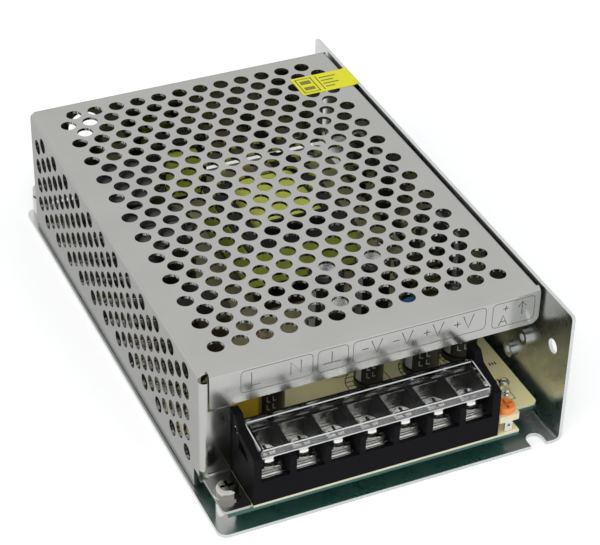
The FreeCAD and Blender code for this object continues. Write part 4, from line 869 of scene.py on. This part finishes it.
# Along its own faces from its axis: front, ridge, upper face, lower edge
LID_FRONT = -10.2
LID_RIDGE = 0.2
LID_TOP = 1.2
LID_BASE = -1.6
LID_INSET = 0.5
HIGHLIGHT_RADIUS = 0.16
SHEEN_LIFT = 0.02


def on_lid(x, y, z):
    """Place on the lid at rest, from y and z measured from its axis along its own faces."""
    cos, sin = math.cos(LID_SLOPE), math.sin(LID_SLOPE)
    return (x, LID_AXIS_Y + y * cos - z * sin, LID_AXIS_Z + y * sin + z * cos)


def lid_painted_highlights():
    left, right = LID_ENDS
    strokes = []
    for y, z in ((LID_FRONT, LID_TOP), (LID_FRONT, LID_BASE), (LID_RIDGE, LID_TOP)):
        strokes.append([on_lid(left + LID_INSET, y, z), on_lid(right - LID_INSET, y, z)])
    for x in (left, right):
        strokes.append([on_lid(x, LID_FRONT + LID_INSET, LID_TOP), on_lid(x, LID_RIDGE, LID_TOP)])
    add_strokes("lid_painted_highlights", strokes, HIGHLIGHT_RADIUS, "lid_highlight_paint", "lid")
    # Painted sheen across the lid's front face
    y = LID_FRONT - SHEEN_LIFT
    corners = [(left, LID_BASE), (right, LID_BASE), (right, LID_TOP), (left, LID_TOP)]
    face = [on_lid(x, y, z) for x, z in corners]
    add_mesh("lid_front", face, [(0, 1, 2, 3)], "lid_painted_sheen", "lid", "clear_plastic")


strip_marks()
board_print()
solder_side()
can_details()
sticker_print()
lamp_parts()
lid_painted_highlights()


# Floor, light and camera
BACKGROUND_LIFT = 0.26
FLOOR_HALF = 6.0
FLOOR_DROP = 0.0003
DOME_STRENGTH = 0.42
LAMP_TARGET = (0, 0, 0.02)
CAMERA_LENS = 119.24
CAMERA_SENSOR = 36.0
CAMERA_PLACE = (-0.185118, -0.416922, 0.344020)
CAMERA_ANGLES = (54.3109, -0.9851, -24.1261)
CAMERA_CLIP = 0.01


def stage_material():
    """White floor that keeps the object's shadow, lifted for the rays that show the background."""
    material = new_material("floor_pale", (0.96, 0.955, 0.95), 0.0, 0.9, Specular_IOR_Level=0.0)
    tree = material.node_tree
    shader_of(material).inputs["Emission Color"].default_value = (1, 1, 1, 1)
    lift = math_node(tree, "MULTIPLY", background_rays(tree), BACKGROUND_LIFT)
    link(tree, lift, shader_of(material).inputs["Emission Strength"])
    return material


def add_floor():
    half = FLOOR_HALF
    corners = [(-half, -half, 0), (half, -half, 0), (half, half, 0), (-half, half, 0)]
    mesh = bpy.data.meshes.new("floor")
    mesh.from_pydata(corners, [], [(0, 1, 2, 3)])
    floor = bpy.data.objects.new("floor", mesh)
    floor.location.z = -FLOOR_DROP
    scene.collection.objects.link(floor)
    mesh.materials.append(stage_material())


def add_world():
    """White to the camera, glass and metal; a plain soft dome for matt surfaces."""
    world = bpy.data.worlds.new("studio")
    world.use_nodes = True
    tree = world.node_tree
    dome = tree.nodes["Background"]
    dome.inputs["Color"].default_value = (0.94, 0.97, 1.0, 1)
    dome.inputs["Strength"].default_value = DOME_STRENGTH
    white = tree.nodes.new("ShaderNodeBackground")
    white.inputs["Color"].default_value = (1, 1, 1, 1)
    white.inputs["Strength"].default_value = 1.0
    mix = tree.nodes.new("ShaderNodeMixShader")
    link(tree, background_rays(tree), mix.inputs["Fac"])
    link(tree, dome.outputs[0], mix.inputs[1])
    link(tree, white.outputs[0], mix.inputs[2])
    link(tree, mix.outputs[0], tree.nodes["World Output"].inputs["Surface"])
    scene.world = world


def add_lamp(name, place, size, watts):
    """Soft disc that lights the object and shows neither to the camera nor in metal."""
    light = bpy.data.lights.new(name, "AREA")
    light.shape = "DISK"
    light.size = size
    light.energy = watts
    lamp = bpy.data.objects.new(name, light)
    lamp.visible_camera = False
    lamp.visible_glossy = False
    lamp.location = place
    lamp.rotation_euler = (Vector(LAMP_TARGET) - Vector(place)).to_track_quat("-Z", "Y").to_euler()
    scene.collection.objects.link(lamp)


def add_camera():
    data = bpy.data.cameras.new("camera")
    data.lens = CAMERA_LENS
    data.sensor_width = CAMERA_SENSOR
    data.clip_start = CAMERA_CLIP
    camera = bpy.data.objects.new("camera", data)
    camera.location = CAMERA_PLACE
    camera.rotation_euler = Euler([math.radians(a) for a in CAMERA_ANGLES])
    scene.collection.objects.link(camera)
    scene.camera = camera


add_floor()
add_world()
add_lamp("key", place=(-0.7, -0.5, 0.9), size=1.6, watts=10.0)
add_lamp("fill", place=(1.25, -2.375, 1.25), size=5.5, watts=60.0)
add_camera()
scene.view_settings.view_transform = "Standard"
